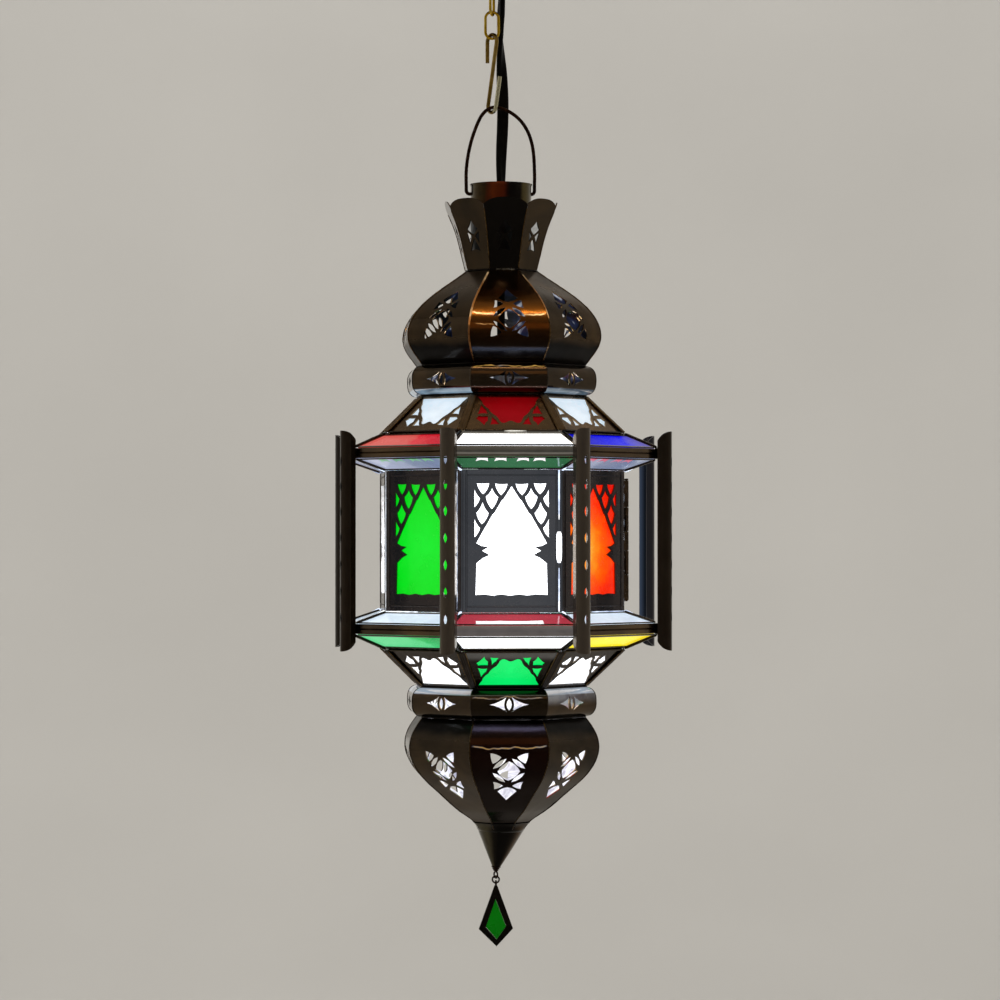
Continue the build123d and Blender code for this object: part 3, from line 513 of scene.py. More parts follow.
# painted reflections and shade for the front facets, in rows from bottom to top: dome, onion, rings, rims and upper
# eave
dome_painted_rows = (114, 176, [
    (0.00, lin(8, 8, 9)), (0.06, lin(10, 10, 12)), (0.10, lin(18, 22, 30)), (0.125, lin(26, 33, 47)), (0.155, lin(28, 20, 14)), (0.24, lin(50, 30, 12)),
    (0.36, lin(86, 52, 18)), (0.45, lin(120, 72, 24)), (0.50, lin(158, 98, 36)), (0.56, lin(164, 102, 38)), (0.64, lin(140, 90, 38)), (0.78, lin(102, 70, 38)), (1.00, lin(88, 64, 40))])
onion_rows = (-188, -114, [
    (0.00, lin(34, 27, 23)), (0.30, lin(26, 15, 12)), (0.55, lin(28, 13, 10)), (0.72, lin(44, 21, 14)), (0.80, lin(44, 22, 14)),
    (0.87, lin(42, 27, 24)), (0.92, lin(46, 42, 60)), (0.955, lin(28, 26, 36)), (0.985, lin(8, 8, 9))])
ring_rows = (94, 114, [(0.0, lin(96, 16, 16)), (0.12, lin(74, 22, 18)), (0.25, lin(56, 44, 34)), (0.6, lin(70, 54, 38)), (0.86, lin(86, 64, 42)), (0.93, lin(210, 156, 80)), (1.0, lin(40, 30, 22))])
low_ring_rows = (-114, -94, [(0.0, lin(24, 20, 16)), (0.3, lin(50, 40, 28)), (0.68, lin(60, 48, 30)), (0.78, lin(38, 36, 24)), (0.86, lin(14, 40, 24)), (1.0, lin(12, 60, 30))])
rim_rows = [(0.0, lin(104, 95, 82)), (0.30, lin(84, 75, 63)), (0.46, lin(44, 38, 32)), (0.54, lin(44, 38, 32)), (0.66, lin(96, 88, 77)), (0.9, lin(146, 139, 128)), (1.0, lin(170, 164, 154))]
eave_rows = [(0.0, lin(84, 77, 66)), (0.55, lin(96, 90, 80)), (0.80, lin(138, 133, 124)), (1.0, lin(112, 106, 97))]

# painted light on the gores and rings: reflections and shade in rows on the front facet, painted shade low on the side
# facets, painted highlight lines, painted bevel and side-facet reflections, and a painted glow inside
m_dome = sheet_metal("dome_bronze", BRONZE, (0.05, 0.13), edge=0.5, inner=DIM, wave=0.35, rows=dome_painted_rows, satin=0.13, dark=(130.5, 124.0), haze=((156.0, 166.0, 0.24), (133.0, 127.0, 0.30)), coat=0.1,
                     lines=[(143.4, 0.85, 2.3, -24.8, 24.8, lin(255, 222, 160), 1.25), (137.2, 0.6, 1.4, -23.0, -8.0, lin(236, 178, 108), 0.7)])
m_onion = sheet_metal("onion_bronze", DARKER, (0.06, 0.15), edge=0.2, inner=LIT, wave=0.3, rows=onion_rows, satin=0.10, dark=(-127.5, -120.0), haze=((-132.0, -124.0, 0.26),), coat=0.12,
                      lines=[(-131.6, 0.6, 0.8, -24.4, 24.4, lin(200, 152, 58), 0.62)])
m_ring = sheet_metal("ring_bronze", BRONZE, (0.06, 0.14), edge=0.25, inner=LIT, wave=0.3, rows=low_ring_rows, satin=0.06, painted_bevel_reflection=(-96.4, 2.3, lin(190, 206, 222), 0.62),
                     lines=[(-99.6, 0.5, -0.6, -24.0, 22.0, lin(176, 140, 72), 0.5)], flank=(math.pi / 4, -106.0, -95.8, 22.0, -22.0, lin(152, 160, 168), 0.40), shade=3 * math.pi / 4)
m_ring_up = sheet_metal("upper_ring_bronze", BRONZE, (0.06, 0.14), edge=0.25, inner=HALF, wave=0.3, rows=ring_rows, satin=0.04, painted_bevel_reflection=(96.2, 2.2, lin(150, 180, 204), 0.62),
                        lines=[(111.4, 0.6, 0.0, -24.4, 24.4, lin(226, 176, 88), 0.7)])
# painted shade: the crown's front petal darkened almost to black
m_crown = sheet_metal("crown_bronze", [lin(52, 42, 28), lin(70, 56, 37), lin(86, 68, 42), lin(60, 50, 36)], (0.07, 0.16), edge=0.4, inner=CUP, wave=0.2, front=0.05)
m_panel = sheet_metal("panel_bronze", [lin(106, 86, 62), lin(130, 105, 77), lin(152, 121, 85), lin(112, 97, 79)], (0.18, 0.32), wave=0.25, edge=0.35, front=0.95)
# painted shade: the skirt takes a darker, greyer copy of the roof panels' finish, with a painted light band on its
# front facet
m_skirt = sheet_metal("skirt_bronze", [lin(54, 48, 42), lin(68, 61, 54), lin(84, 75, 64), lin(58, 53, 48)], (0.16, 0.30), wave=0.25, edge=0.08, front=0.85, wobble=0.0008,
                      lines=[(-71.6, 6.0, 0.0, -36.0, 36.0, lin(112, 110, 106), 0.42)])
# painted light: the drum's sheet glows on its left cut edges, and sheet and folds glow over their outward faces
m_wall = sheet_metal("wall_bronze", [lin(46, 47, 50), lin(58, 59, 63), lin(72, 70, 67), lin(52, 53, 56)], (0.22, 0.36), wave=0.2, edge=0.12, front=0.8, lit_edge=(1.2, 0.066))
m_fold = sheet_metal("fold_bronze", [lin(40, 41, 44), lin(50, 51, 55), lin(62, 61, 60), lin(46, 47, 50)], (0.5, 0.62), wave=0.1, edge=0, front=0.8, lit_edge=(0.0, 0.052))
RIMS = [lin(86, 71, 54), lin(110, 92, 71), lin(130, 106, 77), lin(94, 83, 71)]
# painted reflections and shade in rows on the front facets of the rims and the upper eave, with painted light bands
# across them
m_rim_up = sheet_metal("upper_rim_bronze", RIMS, (0.14, 0.26), wave=0.2, edge=0.3, rows=(52.9, 59.5, rim_rows), wobble=0.0004,
                       lines=[(56.6, 6.5, 0.0, -44.0, 44.0, lin(104, 101, 93), 0.34), (54.9, 0.9, 0.0, -44.0, 44.0, lin(120, 116, 108), 0.36)])
m_rim_low = sheet_metal("lower_rim_bronze", RIMS, (0.14, 0.26), wave=0.2, edge=0.3, rows=(-59.5, -52.9, rim_rows), wobble=0.0004,
                        lines=[(-56.3, 8.5, 0.0, -44.0, 44.0, lin(122, 116, 115), 0.48)])
m_eave_up = sheet_metal("upper_eave_bronze", BRONZE, (0.18, 0.30), wave=0.2, edge=0.3, rows=(60.0, 70.0, eave_rows), wobble=0.0004,
                        lines=[(68.4, 2.2, 0.0, -38.0, 38.0, lin(112, 108, 100), 0.55)])
m_post = plain_metal("post_bronze", [lin(70, 60, 50), lin(84, 73, 61), lin(100, 86, 68)], (0.14, 0.24), scale=26, grain=0.12, coat=0.3)
# painted light on the posts: base tone set by depth, a painted glow (warm at the front, cool further back) left off the
# left posts, and a painted highlight stripe on the right back post
t, b = m_post.node_tree, m_post.node_tree.nodes["Principled BSDF"]
sp_ = t.nodes.new("ShaderNodeSeparateXYZ")
tc = t.nodes.new("ShaderNodeTexCoord")
t.links.new(tc.outputs["Object"], sp_.inputs[0])
deep = mth(t, "ADD", span(t, sp_.outputs[1], -0.11, 0.11, 0.0, 1.0, False), mth(t, "MULTIPLY", mth(t, "SUBTRACT", noise(t, tc.outputs["Object"], 30, 3, 0.6), 0.5), 0.12))
plug(t, b.inputs["Base Color"], ramp(t, deep, [(0.10, lin(86, 76, 64)), (0.20, lin(78, 67, 55)), (0.30, lin(54, 43, 33)), (0.50, lin(60, 50, 40)), (0.70, lin(54, 48, 44)), (1.0, lin(84, 73, 61))]))
plug(t, b.inputs["Emission Color"], ramp(t, deep, [(0.06, lin(66, 59, 52)), (0.24, lin(0, 0, 0)), (0.46, lin(0, 0, 0)), (0.57, lin(100, 116, 144)), (0.76, lin(100, 116, 144)), (0.86, lin(30, 32, 40))]))
across = ramp(t, span(t, sp_.outputs[0], -0.11, 0.11, 0.0, 1.0, False), [(0.16, lin(0, 0, 0)), (0.25, (0.45, 0.45, 0.45, 1.0)), (0.75, (0.45, 0.45, 0.45, 1.0)), (0.902, (0.1, 0.1, 0.1, 1.0)), (0.922, (0.7, 0.7, 0.7, 1.0)), (0.936, (0.8, 0.8, 0.8, 1.0)), (0.958, (0.06, 0.06, 0.06, 1.0))])
plug(t, b.inputs["Emission Strength"], mth(t, "MULTIPLY", across, 0.49))
m_frame = plain_metal("strip_bronze", [lin(62, 55, 47), lin(80, 70, 59), lin(104, 89, 70)], (0.16, 0.28), scale=40, grain=0.15, coat=0.3)
m_hip = plain_metal("hip_bronze", [lin(104, 86, 63), lin(130, 107, 79), lin(156, 128, 92)], (0.40, 0.54), scale=60, grain=0.15)
# painted shade: a darker, greyer copy of the hip finish for the skirt's hips, which face down
m_hip_low = plain_metal("low_hip_bronze", [lin(58, 52, 48), lin(74, 67, 61), lin(92, 83, 75)], (0.34, 0.46), scale=60, grain=0.15)
m_seam = plain_metal("seam_bronze", [lin(66, 52, 35), lin(96, 74, 46), lin(132, 104, 66)], (0.22, 0.36), scale=240, grain=0.4)
# painted shade: a darker copy of the seam finish for the onion's seams
m_seam_low = plain_metal("low_seam_bronze", [lin(50, 41, 30), lin(70, 56, 38), lin(98, 78, 50)], (0.24, 0.38), scale=240, grain=0.4)
m_solder = plain_metal("solder_bronze", [lin(92, 74, 48), lin(136, 108, 68), lin(190, 158, 106)], (0.14, 0.3), scale=240, grain=0.4)
m_tin = plain_metal("tin_solder", [lin(70, 68, 64), lin(110, 108, 103), lin(196, 196, 190)], (0.2, 0.36), scale=300, grain=0.7)
m_wire = plain_metal("black_wire", [lin(34, 23, 16), lin(50, 33, 23), lin(74, 50, 34)], (0.24, 0.4), scale=160, grain=0.2)
m_brass = plain_metal("aged_brass", [lin(196, 160, 36), lin(230, 192, 56), lin(248, 220, 104)], (0.16, 0.28), scale=110, grain=0.08)
m_zinc = plain_metal("zinc_plate", [lin(140, 142, 142), lin(176, 178, 178), lin(196, 198, 200)], (0.28, 0.42), scale=120, grain=0.2)
m_canopy = plain_metal("canopy_bronze", [lin(58, 46, 34), lin(88, 70, 50), lin(112, 88, 60)], (0.18, 0.34), scale=40, grain=0.2, coat=0.2)
m_dark = plain_metal("dark_bronze", [lin(22, 18, 15), lin(32, 27, 22), lin(48, 41, 33)], (0.14, 0.26), scale=60, grain=0.15, coat=0.2)
m_rubber = plain_metal("grommet_rubber", [lin(22, 22, 22), lin(30, 30, 30), lin(38, 37, 37)], (0.55, 0.75), metallic=0.0, scale=300, grain=0.3)
m_holder = plain_metal("holder_plastic", [lin(20, 20, 20), lin(28, 28, 28), lin(34, 34, 34)], (0.25, 0.4), metallic=0.0, scale=180, grain=0.1)
m_cap = plain_metal("cap_metal", [lin(176, 174, 166), lin(200, 198, 190), lin(220, 218, 210)], (0.25, 0.4), scale=160, grain=0.2)



def toned_metal(name, along, stops, rough, sink=None):
    """Polished round metal with painted light and shade running across it: by its place across (0) or by the way its
    surface faces (1), with optional painted shade below a given height.
    """
    m, t, b = new_mat(name)
    tc = t.nodes.new("ShaderNodeTexCoord")
    v = tc.outputs["Object"]
    sp_ = t.nodes.new("ShaderNodeSeparateXYZ")
    t.links.new(v, sp_.inputs[0])
    sn_ = t.nodes.new("ShaderNodeSeparateXYZ")
    t.links.new(tc.outputs["Normal"], sn_.inputs[0])
    big, mid = noise(t, v, 40, 3, 0.55, 0.4), noise(t, v, 210, 3, 0.6)
    h = span(t, sp_.outputs[0], -along[0] * 0.001, along[0] * 0.001, 0.0, 1.0, False) if along[0] else span(t, sn_.outputs[0], -1.0, 1.0, 0.0, 1.0, False)
    h = mth(t, "ADD", h, mth(t, "MULTIPLY", mth(t, "SUBTRACT", big, 0.5), 0.10))
    col = ramp(t, h, stops)
    if sink is not None:
        col = mix(t, span(t, sp_.outputs[2], MID + sink[0] * 0.001, MID + sink[1] * 0.001, 0.0, 0.985), col, (0.002, 0.002, 0.002, 1.0))
    plug(t, b.inputs["Base Color"], mix(t, span(t, mid, 0.5, 0.75, 0.0, 0.35), col, lin(20, 16, 12)))
    b.inputs["Metallic"].default_value = 1.0
    plug(t, b.inputs["Roughness"], span(t, mid, 0.3, 0.7, rough[0], rough[1]))
    b.inputs["Coat Weight"].default_value = 0.2
    plug(t, b.inputs["Normal"], bump(t, big, 0.15, 0.0008))
    return m


# painted reflections and shade across the neck tube, with painted shade where it goes down into the crown
m_neck = toned_metal("neck_bronze", (19.8, 0), [
    (0.00, lin(74, 62, 32)), (0.20, lin(66, 46, 20)), (0.26, lin(96, 40, 15)), (0.34, lin(140, 62, 23)), (0.50, lin(122, 48, 18)),
    (0.555, lin(56, 24, 12)), (0.60, lin(22, 15, 10)), (0.78, lin(22, 17, 12)), (0.84, lin(104, 92, 56)), (1.00, lin(70, 62, 38))], (0.14, 0.24), sink=(222.5, 216.0))
# painted reflections and shade on the tip, by the way its surface faces: dark in the middle, lighter at both sides
m_tip = toned_metal("tip_bronze", (0, 1), [
    (0.00, lin(70, 64, 52)), (0.18, lin(86, 80, 60)), (0.30, lin(34, 29, 23)), (0.42, lin(11, 9, 7)), (0.62, lin(14, 11, 8)),
    (0.74, lin(34, 25, 16)), (0.84, lin(84, 64, 40)), (1.00, lin(58, 48, 36))], (0.12, 0.22))

# the S-hook: dull olive brass, near white on its free lower end
m_hook, t, b = new_mat("hook_brass")
tc = t.nodes.new("ShaderNodeTexCoord")
v = tc.outputs["Object"]
sp_ = t.nodes.new("ShaderNodeSeparateXYZ")
t.links.new(v, sp_.inputs[0])
big = noise(t, v, 100, 3, 0.5, 0.3)
across = mth(t, "SUBTRACT", mth(t, "MULTIPLY", mth(t, "ADD", sp_.outputs[0], 0.0059), math.cos(math.radians(55))), mth(t, "MULTIPLY", sp_.outputs[1], math.sin(math.radians(55))))
free = mth(t, "MULTIPLY", span(t, across, 0.0014, 0.0032), span(t, sp_.outputs[2], MID + 0.3075, MID + 0.3055))
col = ramp(t, big, [(0.3, lin(104, 82, 34)), (0.52, lin(150, 122, 56)), (0.72, lin(190, 160, 90))])
plug(t, b.inputs["Base Color"], mix(t, free, col, lin(226, 222, 186)))
b.inputs["Metallic"].default_value = 1.0
plug(t, b.inputs["Roughness"], span(t, big, 0.3, 0.7, 0.2, 0.36))
plug(t, b.inputs["Normal"], bump(t, big, 0.1, 0.0004))

# the panes' painted glow; some colour ramps also paint reflections, such as the lavender at one end of the blue eave
W = lin(255, 255, 255)
g_opal = glass("opal_glass", lin(236, 240, 246), [(0.0, W), (1.0, lin(240, 244, 252))], 2.4, -4, 60, trans=0.1)
g_green = glass("green_wall_glass", lin(0, 90, 14), [(0.0, lin(6, 232, 40)), (0.45, lin(0, 220, 26)), (1.0, lin(0, 178, 12))], 1.0, -4, 62, trans=0.1, coat=0.3)
g_amber = glass("amber_wall_glass", lin(170, 44, 0), [(0.0, lin(255, 206, 84)), (0.2, lin(255, 146, 20)), (0.45, lin(255, 92, 0)), (0.7, lin(240, 40, 0)), (1.0, lin(214, 8, 0))], 1.0, -6, 44, u0=-9, trans=0.1, squeeze=0.9, coat=0.3)
g_red_roof = glass("red_roof_glass", lin(90, 0, 5), [(0.0, lin(136, 4, 14)), (0.5, lin(124, 0, 7)), (1.0, lin(84, 4, 5))], 1.0, 80, 36, trans=0.02, coat=0.08, wave=0.1, squeeze=2.3, spec=0.12)
g_clear_roof = glass("clear_roof_glass", lin(205, 220, 232), [(0.0, lin(240, 248, 255)), (0.5, lin(216, 233, 247)), (1.0, lin(176, 204, 226))], 0.68, 80, 36, trans=0.1, coat=0.08, spec=0.18)
g_white_eave = glass("white_eave_glass", lin(228, 234, 240), [(0.0, W), (1.0, lin(244, 248, 255))], 1.9, 64, 50, trans=0.1)
g_red_eave = glass("red_eave_glass", lin(120, 2, 10), [(0.0, lin(206, 92, 84)), (0.5, lin(204, 80, 75)), (0.60, lin(206, 34, 50)), (1.0, lin(184, 10, 30))], 0.98, 64, 44, trans=0.02, coat=0.06, spec=0.1, along=(-30, 26, 0.6), mottle=0.10)
g_blue_eave = glass("blue_eave_glass", lin(2, 2, 70), [(0.0, lin(0, 4, 188)), (0.40, lin(0, 6, 226)), (0.72, lin(10, 12, 228)), (0.82, lin(80, 76, 204)), (1.0, lin(104, 98, 178))], 0.98, 64, 44, trans=0.0, coat=0.02, spec=0.03, along=(-22, 34, -1.4), mottle=0.10)
g_green_soffit = glass("green_soffit_glass", lin(4, 60, 22), [(0.0, lin(58, 114, 78)), (1.0, lin(44, 98, 62))], 0.9, 48, 50, trans=0.1, rough=0.1, coat=0.3)
g_clear_soffit = glass("clear_soffit_glass", lin(140, 146, 166), [(0.0, lin(172, 178, 200)), (0.36, lin(162, 169, 190)), (0.46, lin(132, 142, 166)), (0.8, lin(112, 126, 158)), (1.0, lin(150, 158, 176))], 0.85, 48, 52, trans=0.25, rough=0.1, coat=0.3, along=(-34, 36, 0.0), mottle=0.08)
g_red_sill = glass("red_sill_glass", lin(120, 4, 18), [(0.0, lin(178, 64, 78)), (1.0, lin(162, 48, 64))], 0.95, -48, 50, trans=0.1, rough=0.1, coat=0.35)
g_clear_sill = glass("clear_sill_glass", lin(200, 210, 222), [(0.0, lin(214, 225, 236)), (0.6, lin(200, 213, 226)), (1.0, lin(178, 192, 208))], 0.9, -48, 52, trans=0.2, rough=0.12, coat=0.4, mottle=0.12)
g_white_low = glass("white_low_eave_glass", lin(228, 234, 240), [(0.0, W), (1.0, lin(240, 246, 252))], 1.7, -64, 50, trans=0.1)
g_green_low = glass("green_low_eave_glass", lin(20, 110, 56), [(0.0, lin(104, 218, 148)), (0.6, lin(88, 212, 136)), (0.72, lin(22, 184, 92)), (1.0, lin(6, 160, 70))], 0.95, -64, 44, trans=0.1, coat=0.1, spec=0.2, along=(-30, 30, 2.2), mottle=0.10)
g_yellow_low = glass("yellow_low_eave_glass", lin(180, 160, 8), [(0.0, lin(255, 240, 40)), (0.6, lin(248, 228, 24)), (1.0, lin(226, 196, 14))], 1.0, -64, 44, trans=0.1, coat=0.3)
g_green_skirt = glass("green_skirt_glass", lin(0, 100, 46), [(0.0, lin(14, 236, 112)), (0.6, lin(0, 216, 92)), (1.0, lin(0, 184, 72))], 1.05, -78, 42, trans=0.1, coat=0.3)
g_white_skirt = glass("white_skirt_glass", lin(226, 232, 240), [(0.0, W), (1.0, lin(238, 244, 252))], 1.5, -78, 42, trans=0.1)
g_pendant = glass("pendant_glass_green", lin(0, 56, 3), [(0.0, lin(0, 100, 6)), (1.0, lin(0, 78, 3))], 0.9, -246, 26, u0=0, trans=0.1, rough=0.3, coat=0.0, spec=0.2)
g_bulb, t, b = new_mat("frosted_bulb")
tc = t.nodes.new("ShaderNodeTexCoord")
frost = noise(t, tc.outputs["Object"], 900, 3)
plug(t, b.inputs["Base Color"], ramp(t, frost, [(0.3, lin(250, 240, 222)), (0.7, lin(255, 250, 240))]))
plug(t, b.inputs["Emission Color"], ramp(t, frost, [(0.3, lin(255, 236, 206)), (0.7, lin(255, 244, 224))]))
b.inputs["Emission Strength"].default_value = 6.0
b.inputs["Roughness"].default_value = 0.35
m_beam, t, b = new_mat("seam_beam")
tc = t.nodes.new("ShaderNodeTexCoord")
plug(t, b.inputs["Emission Color"], ramp(t, noise(t, tc.outputs["Object"], 420, 3, 0.6), [(0.3, lin(190, 212, 246)), (0.5, W)]))
b.inputs["Emission Strength"].default_value = 2.6
b.inputs["Base Color"].default_value = lin(226, 232, 242)
b.inputs["Roughness"].default_value = 0.4
m_leak, t, b = new_mat("seam_light")
tc = t.nodes.new("ShaderNodeTexCoord")
gap = noise(t, stretch(t, tc.outputs["Object"], 0.2, 0.2, 1.0), 95, 3, 0.6)
plug(t, b.inputs["Emission Color"], ramp(t, gap, [(0.3, lin(96, 112, 150)), (0.5, lin(206, 222, 246)), (0.65, W)]))
b.inputs["Emission Strength"].default_value = 1.6
b.inputs["Base Color"].default_value = lin(220, 226, 236)
b.inputs["Roughness"].default_value = 0.4

finish = {
    "dome_gores": m_dome, "onion_gores": m_onion, "lower_ring": m_ring, "upper_ring": m_ring_up, "crown_petals": m_crown,
    "roof_panels": m_panel, "skirt_panels": m_skirt, "wall_panels": m_wall, "door_panel": m_wall, "door_frame": m_wall,
    "posts": m_post, "upper_eave_frames": m_eave_up, "lower_eave_frames": m_frame, "soffit_frames": m_frame, "sill_frames": m_frame,
    "upper_rim": m_rim_up, "lower_rim": m_rim_low, "neck_tube": m_neck, "neck_collar": m_frame, "neck_plate": m_frame,
    "tip_cone": m_tip, "tip_eye": m_wire, "pendant_ring": m_wire, "pendant_frame": m_dark, "pendant_glass": g_pendant,
    "ceiling_plate": m_zinc, "ceiling_canopy": m_canopy, "ceiling_hook": m_wire, "chain_link_upper": m_brass, "chain_link_lower": m_brass,
    "s_hook": m_hook, "bail": m_wire, "cable_grommet": m_rubber, "lamp_lead": mat_flex, "lamp_bracket": m_zinc, "lamp_holder": m_holder,
    "holder_nipple": m_zinc, "bulb": g_bulb, "bulb_cap": m_cap, "door_pull": m_brass, "door_hinge_pin": m_wire,
    "roof_glass_red": g_red_roof, "roof_glass_clear": g_clear_roof, "upper_eave_glass_clear": g_white_eave,
    "upper_eave_glass_red": g_red_eave, "upper_eave_glass_blue": g_blue_eave, "soffit_glass_green": g_green_soffit,
    "soffit_glass_clear": g_clear_soffit, "wall_glass_opal": g_opal, "wall_glass_green": g_green, "wall_glass_amber": g_amber,
    "door_glass": g_opal, "sill_glass_red": g_red_sill, "sill_glass_clear": g_clear_sill, "lower_eave_glass_clear": g_white_low,
    "lower_eave_glass_green": g_green_low, "lower_eave_glass_yellow": g_yellow_low, "skirt_glass_green": g_green_skirt,
    "skirt_glass_clear": g_white_skirt,
}
for name, ob in nodes.items():
    material = finish.get(name)
    if material is None:
        continue
    if len(ob.material_slots) == 0:
        ob.data.materials.append(material)
    for s in ob.material_slots:
        s.material = material

# ------------------------------------------------------------------ soldered seams, folds and cames
rng = random.Random(11)
dome_profile = [(25.1, 175.6), (32.4, 170.6), (39.8, 165.8), (50.2, 158.6), (60.0, 150.0), (65.6, 142.0), (67.9, 134.0), (66.7, 127.0), (61.7, 119.4), (57.5, 114.0)]
onion_profile = [(57.5, -114.2), (62.4, -120.8), (65.5, -127.2), (66.5, -133.7), (63.9, -143.1), (56.6, -153.0), (44.1, -163.9), (29.6, -175.8), (17.6, -184.9), (15.9, -187.4)]
crown_profile = [(24.4, 176.4), (26.9, 186.0), (29.6, 196.5), (33.4, 207.5), (36.6, 214.6)]
ring_profile = [(57.4, 94.6), (61.4, 95.7), (63.9, 98.6), (64.7, 103.6), (64.2, 108.4), (61.8, 111.9), (57.4, 113.4)]


def seam_runs(profile, n, wide, high, wob, flip=False):
    runs = []
    for k in range(8):
        line = [corner(k, r, -z if flip else z) for r, z in smooth_line(profile, n)]
        runs.append(bead(line, outward(k), wide, high, rng, 8, wob))
    return runs


vv, ff = sweep(seam_runs(dome_profile, 46, 0.00052, 0.00034, 0.16))
add_mesh("dome_seams", vv, ff, m_seam, "lantern")
vv, ff = sweep(seam_runs(onion_profile, 46, 0.00050, 0.00032, 0.16))
add_mesh("onion_seams", vv, ff, m_seam_low, "lantern")
vv, ff = sweep(seam_runs(crown_profile, 26, 0.00042, 0.00028, 0.14))
add_mesh("crown_seams", vv, ff, m_seam, "lantern")
vv, ff = sweep(seam_runs(ring_profile, 18, 0.00042, 0.00026, 0.14) + seam_runs(ring_profile, 18, 0.00042, 0.00026, 0.14, True))
add_mesh("ring_seams", vv, ff, m_frame, "lantern")

# painted highlights on the hips beside the front gore
m_hip_highlight, t, b = new_mat("painted_hip_highlight")
tc = t.nodes.new("ShaderNodeTexCoord")
sp_ = t.nodes.new("ShaderNodeSeparateXYZ")
t.links.new(tc.outputs["Object"], sp_.inputs[0])
cloud = noise(t, tc.outputs["Object"], 300, 3, 0.6)
fall = mth(t, "ADD", span(t, sp_.outputs[2], MID + 0.118, MID + 0.176, 0.0, 1.0, False), mth(t, "MULTIPLY", mth(t, "SUBTRACT", cloud, 0.5), 0.3))
plug(t, b.inputs["Emission Color"], ramp(t, fall, [(0.0, lin(26, 16, 9)), (0.30, lin(84, 48, 24)), (0.40, lin(206, 130, 66)), (0.45, lin(255, 208, 146)), (0.53, lin(168, 106, 50)), (0.80, lin(118, 76, 36)), (0.95, lin(206, 172, 124))]))
b.inputs["Emission Strength"].default_value = 0.62
plug(t, b.inputs["Base Color"], ramp(t, cloud, [(0.3, lin(84, 58, 31)), (0.7, lin(136, 99, 55))]))
b.inputs["Metallic"].default_value = 1.0
b.inputs["Roughness"].default_value = 0.3
gold = []
for k, wide, stretch_ in ((7, 0.00064, (174.4, 118.5)), (0, 0.00042, (172.5, 141.0))):
    line = [corner(k, r, z) for r, z in smooth_line(dome_profile, 90) if stretch_[1] < z < stretch_[0]]
    gold.append(bead(line, outward(k), wide, 0.00044, rng, 8, 0.12))
vv, ff = sweep(gold)
add_mesh("hip_painted_highlight", vv, ff, m_hip_highlight, "lantern")

# roof and skirt hips: a folded strip along each edge of the pierced panels
tilt = math.atan2(25.1, 23.8)
for s, name, material in ((1, "roof_hip_folds", m_hip), (-1, "skirt_hip_folds", m_hip_low)):
    hips = []
    for k in range(8):
        for side in (-1, 1):
            a, c_ = corner(k, 83.2, s * 70.3, side * 1.5), corner(k, 58.4, s * 93.4, side * 1.3)
            up = outward(k, s * tilt * 0.9)
            hips.append(bead(between(a, c_, 22), up, 0.00105, 0.00062, rng, 8, 0.06, False))
        up = outward(k, s * tilt * 0.9)
        hips.append(bead(between(corner(k, 83.5, s * 70.2), corner(k, 58.7, s * 93.3), 22), up, 0.0009, 0.0004, rng, 8, 0.06, False))
    vv, ff = sweep(hips)
    add_mesh(name, vv, ff, material, "lantern")
lines = []
for s in (1, -1):
    for k in range(8):
        for side in (-1, 1):
            a, c_ = corner(k, 83.0, s * 70.7, side * 2.75), corner(k, 58.3, s * 93.6, side * 2.5)
            up = outward(k, s * math.atan2(25.1, 23.8) * 0.9)
            lines.append(bead(between(a, c_, 26), up, 0.00026, 0.00030, rng, 6, 0.2, False))
vv, ff = sweep(lines)
add_mesh("hip_edges", vv, ff, m_solder, "lantern")

# fold along the foot of the roof and the top of the skirt
feet = []
for s in (1, -1):
    for k in range(8):
        a, c_ = on_face(k, -31.2, 77.0, s * 70.0), on_face(k, 31.2, 77.0, s * 70.0)
        feet.append(bead(between(a, c_, 20), face_dir(k, s * 0.9), 0.0007, 0.0007, rng, 8, 0.08))
vv, ff = sweep(feet)
add_mesh("roof_foot_folds", vv, ff, m_frame, "lantern")

# cames on the eave hips and on the soffit and sill hips
cames = []
for s in (1, -1):
    for k in range(8):
        a, c_ = corner(k, 105.2, s * 60.7), corner(k, 83.9, s * 69.6)
        cames.append(bead(between(a, c_, 18), outward(k, s * 1.1), 0.00125, 0.00062, rng, 8, 0.06))
        a, c_ = corner(k, 83.9, s * 45.2), corner(k, 104.2, s * 52.0)
        cames.append(bead(between(a, c_, 18), outward(k, -s * 1.2), 0.00105, 0.0006, rng, 8, 0.06))
vv, ff = sweep(cames)
add_mesh("hip_cames", vv, ff, m_frame, "lantern")

# vertical folds beside the drum's windows
folds = []
for k in (0, 1, 3, 4, 5, 6, 7):
    for u in (-28.6, 28.6):
        folds.append(bead(between(on_face(k, u, 77.35, -44.6), on_face(k, u, 77.35, 44.6), 30), face_dir(k), 0.0007, 0.00045, rng, 8, 0.05))
    for z in (-41.4, 41.6):
        folds.append(bead(between(on_face(k, -28.0, 77.3, z), on_face(k, 28.0, 77.3, z), 22), face_dir(k), 0.00055, 0.00035, rng, 8, 0.05))
for k in (7, 0):
    folds.append(bead(between(corner(k, 83.5, -44.8), corner(k, 83.5, 44.8), 30), outward(k), 0.0014, 0.0005, rng, 8, 0.05))
vv, ff = sweep(folds)
add_mesh("wall_folds", vv, ff, m_fold, "lantern")

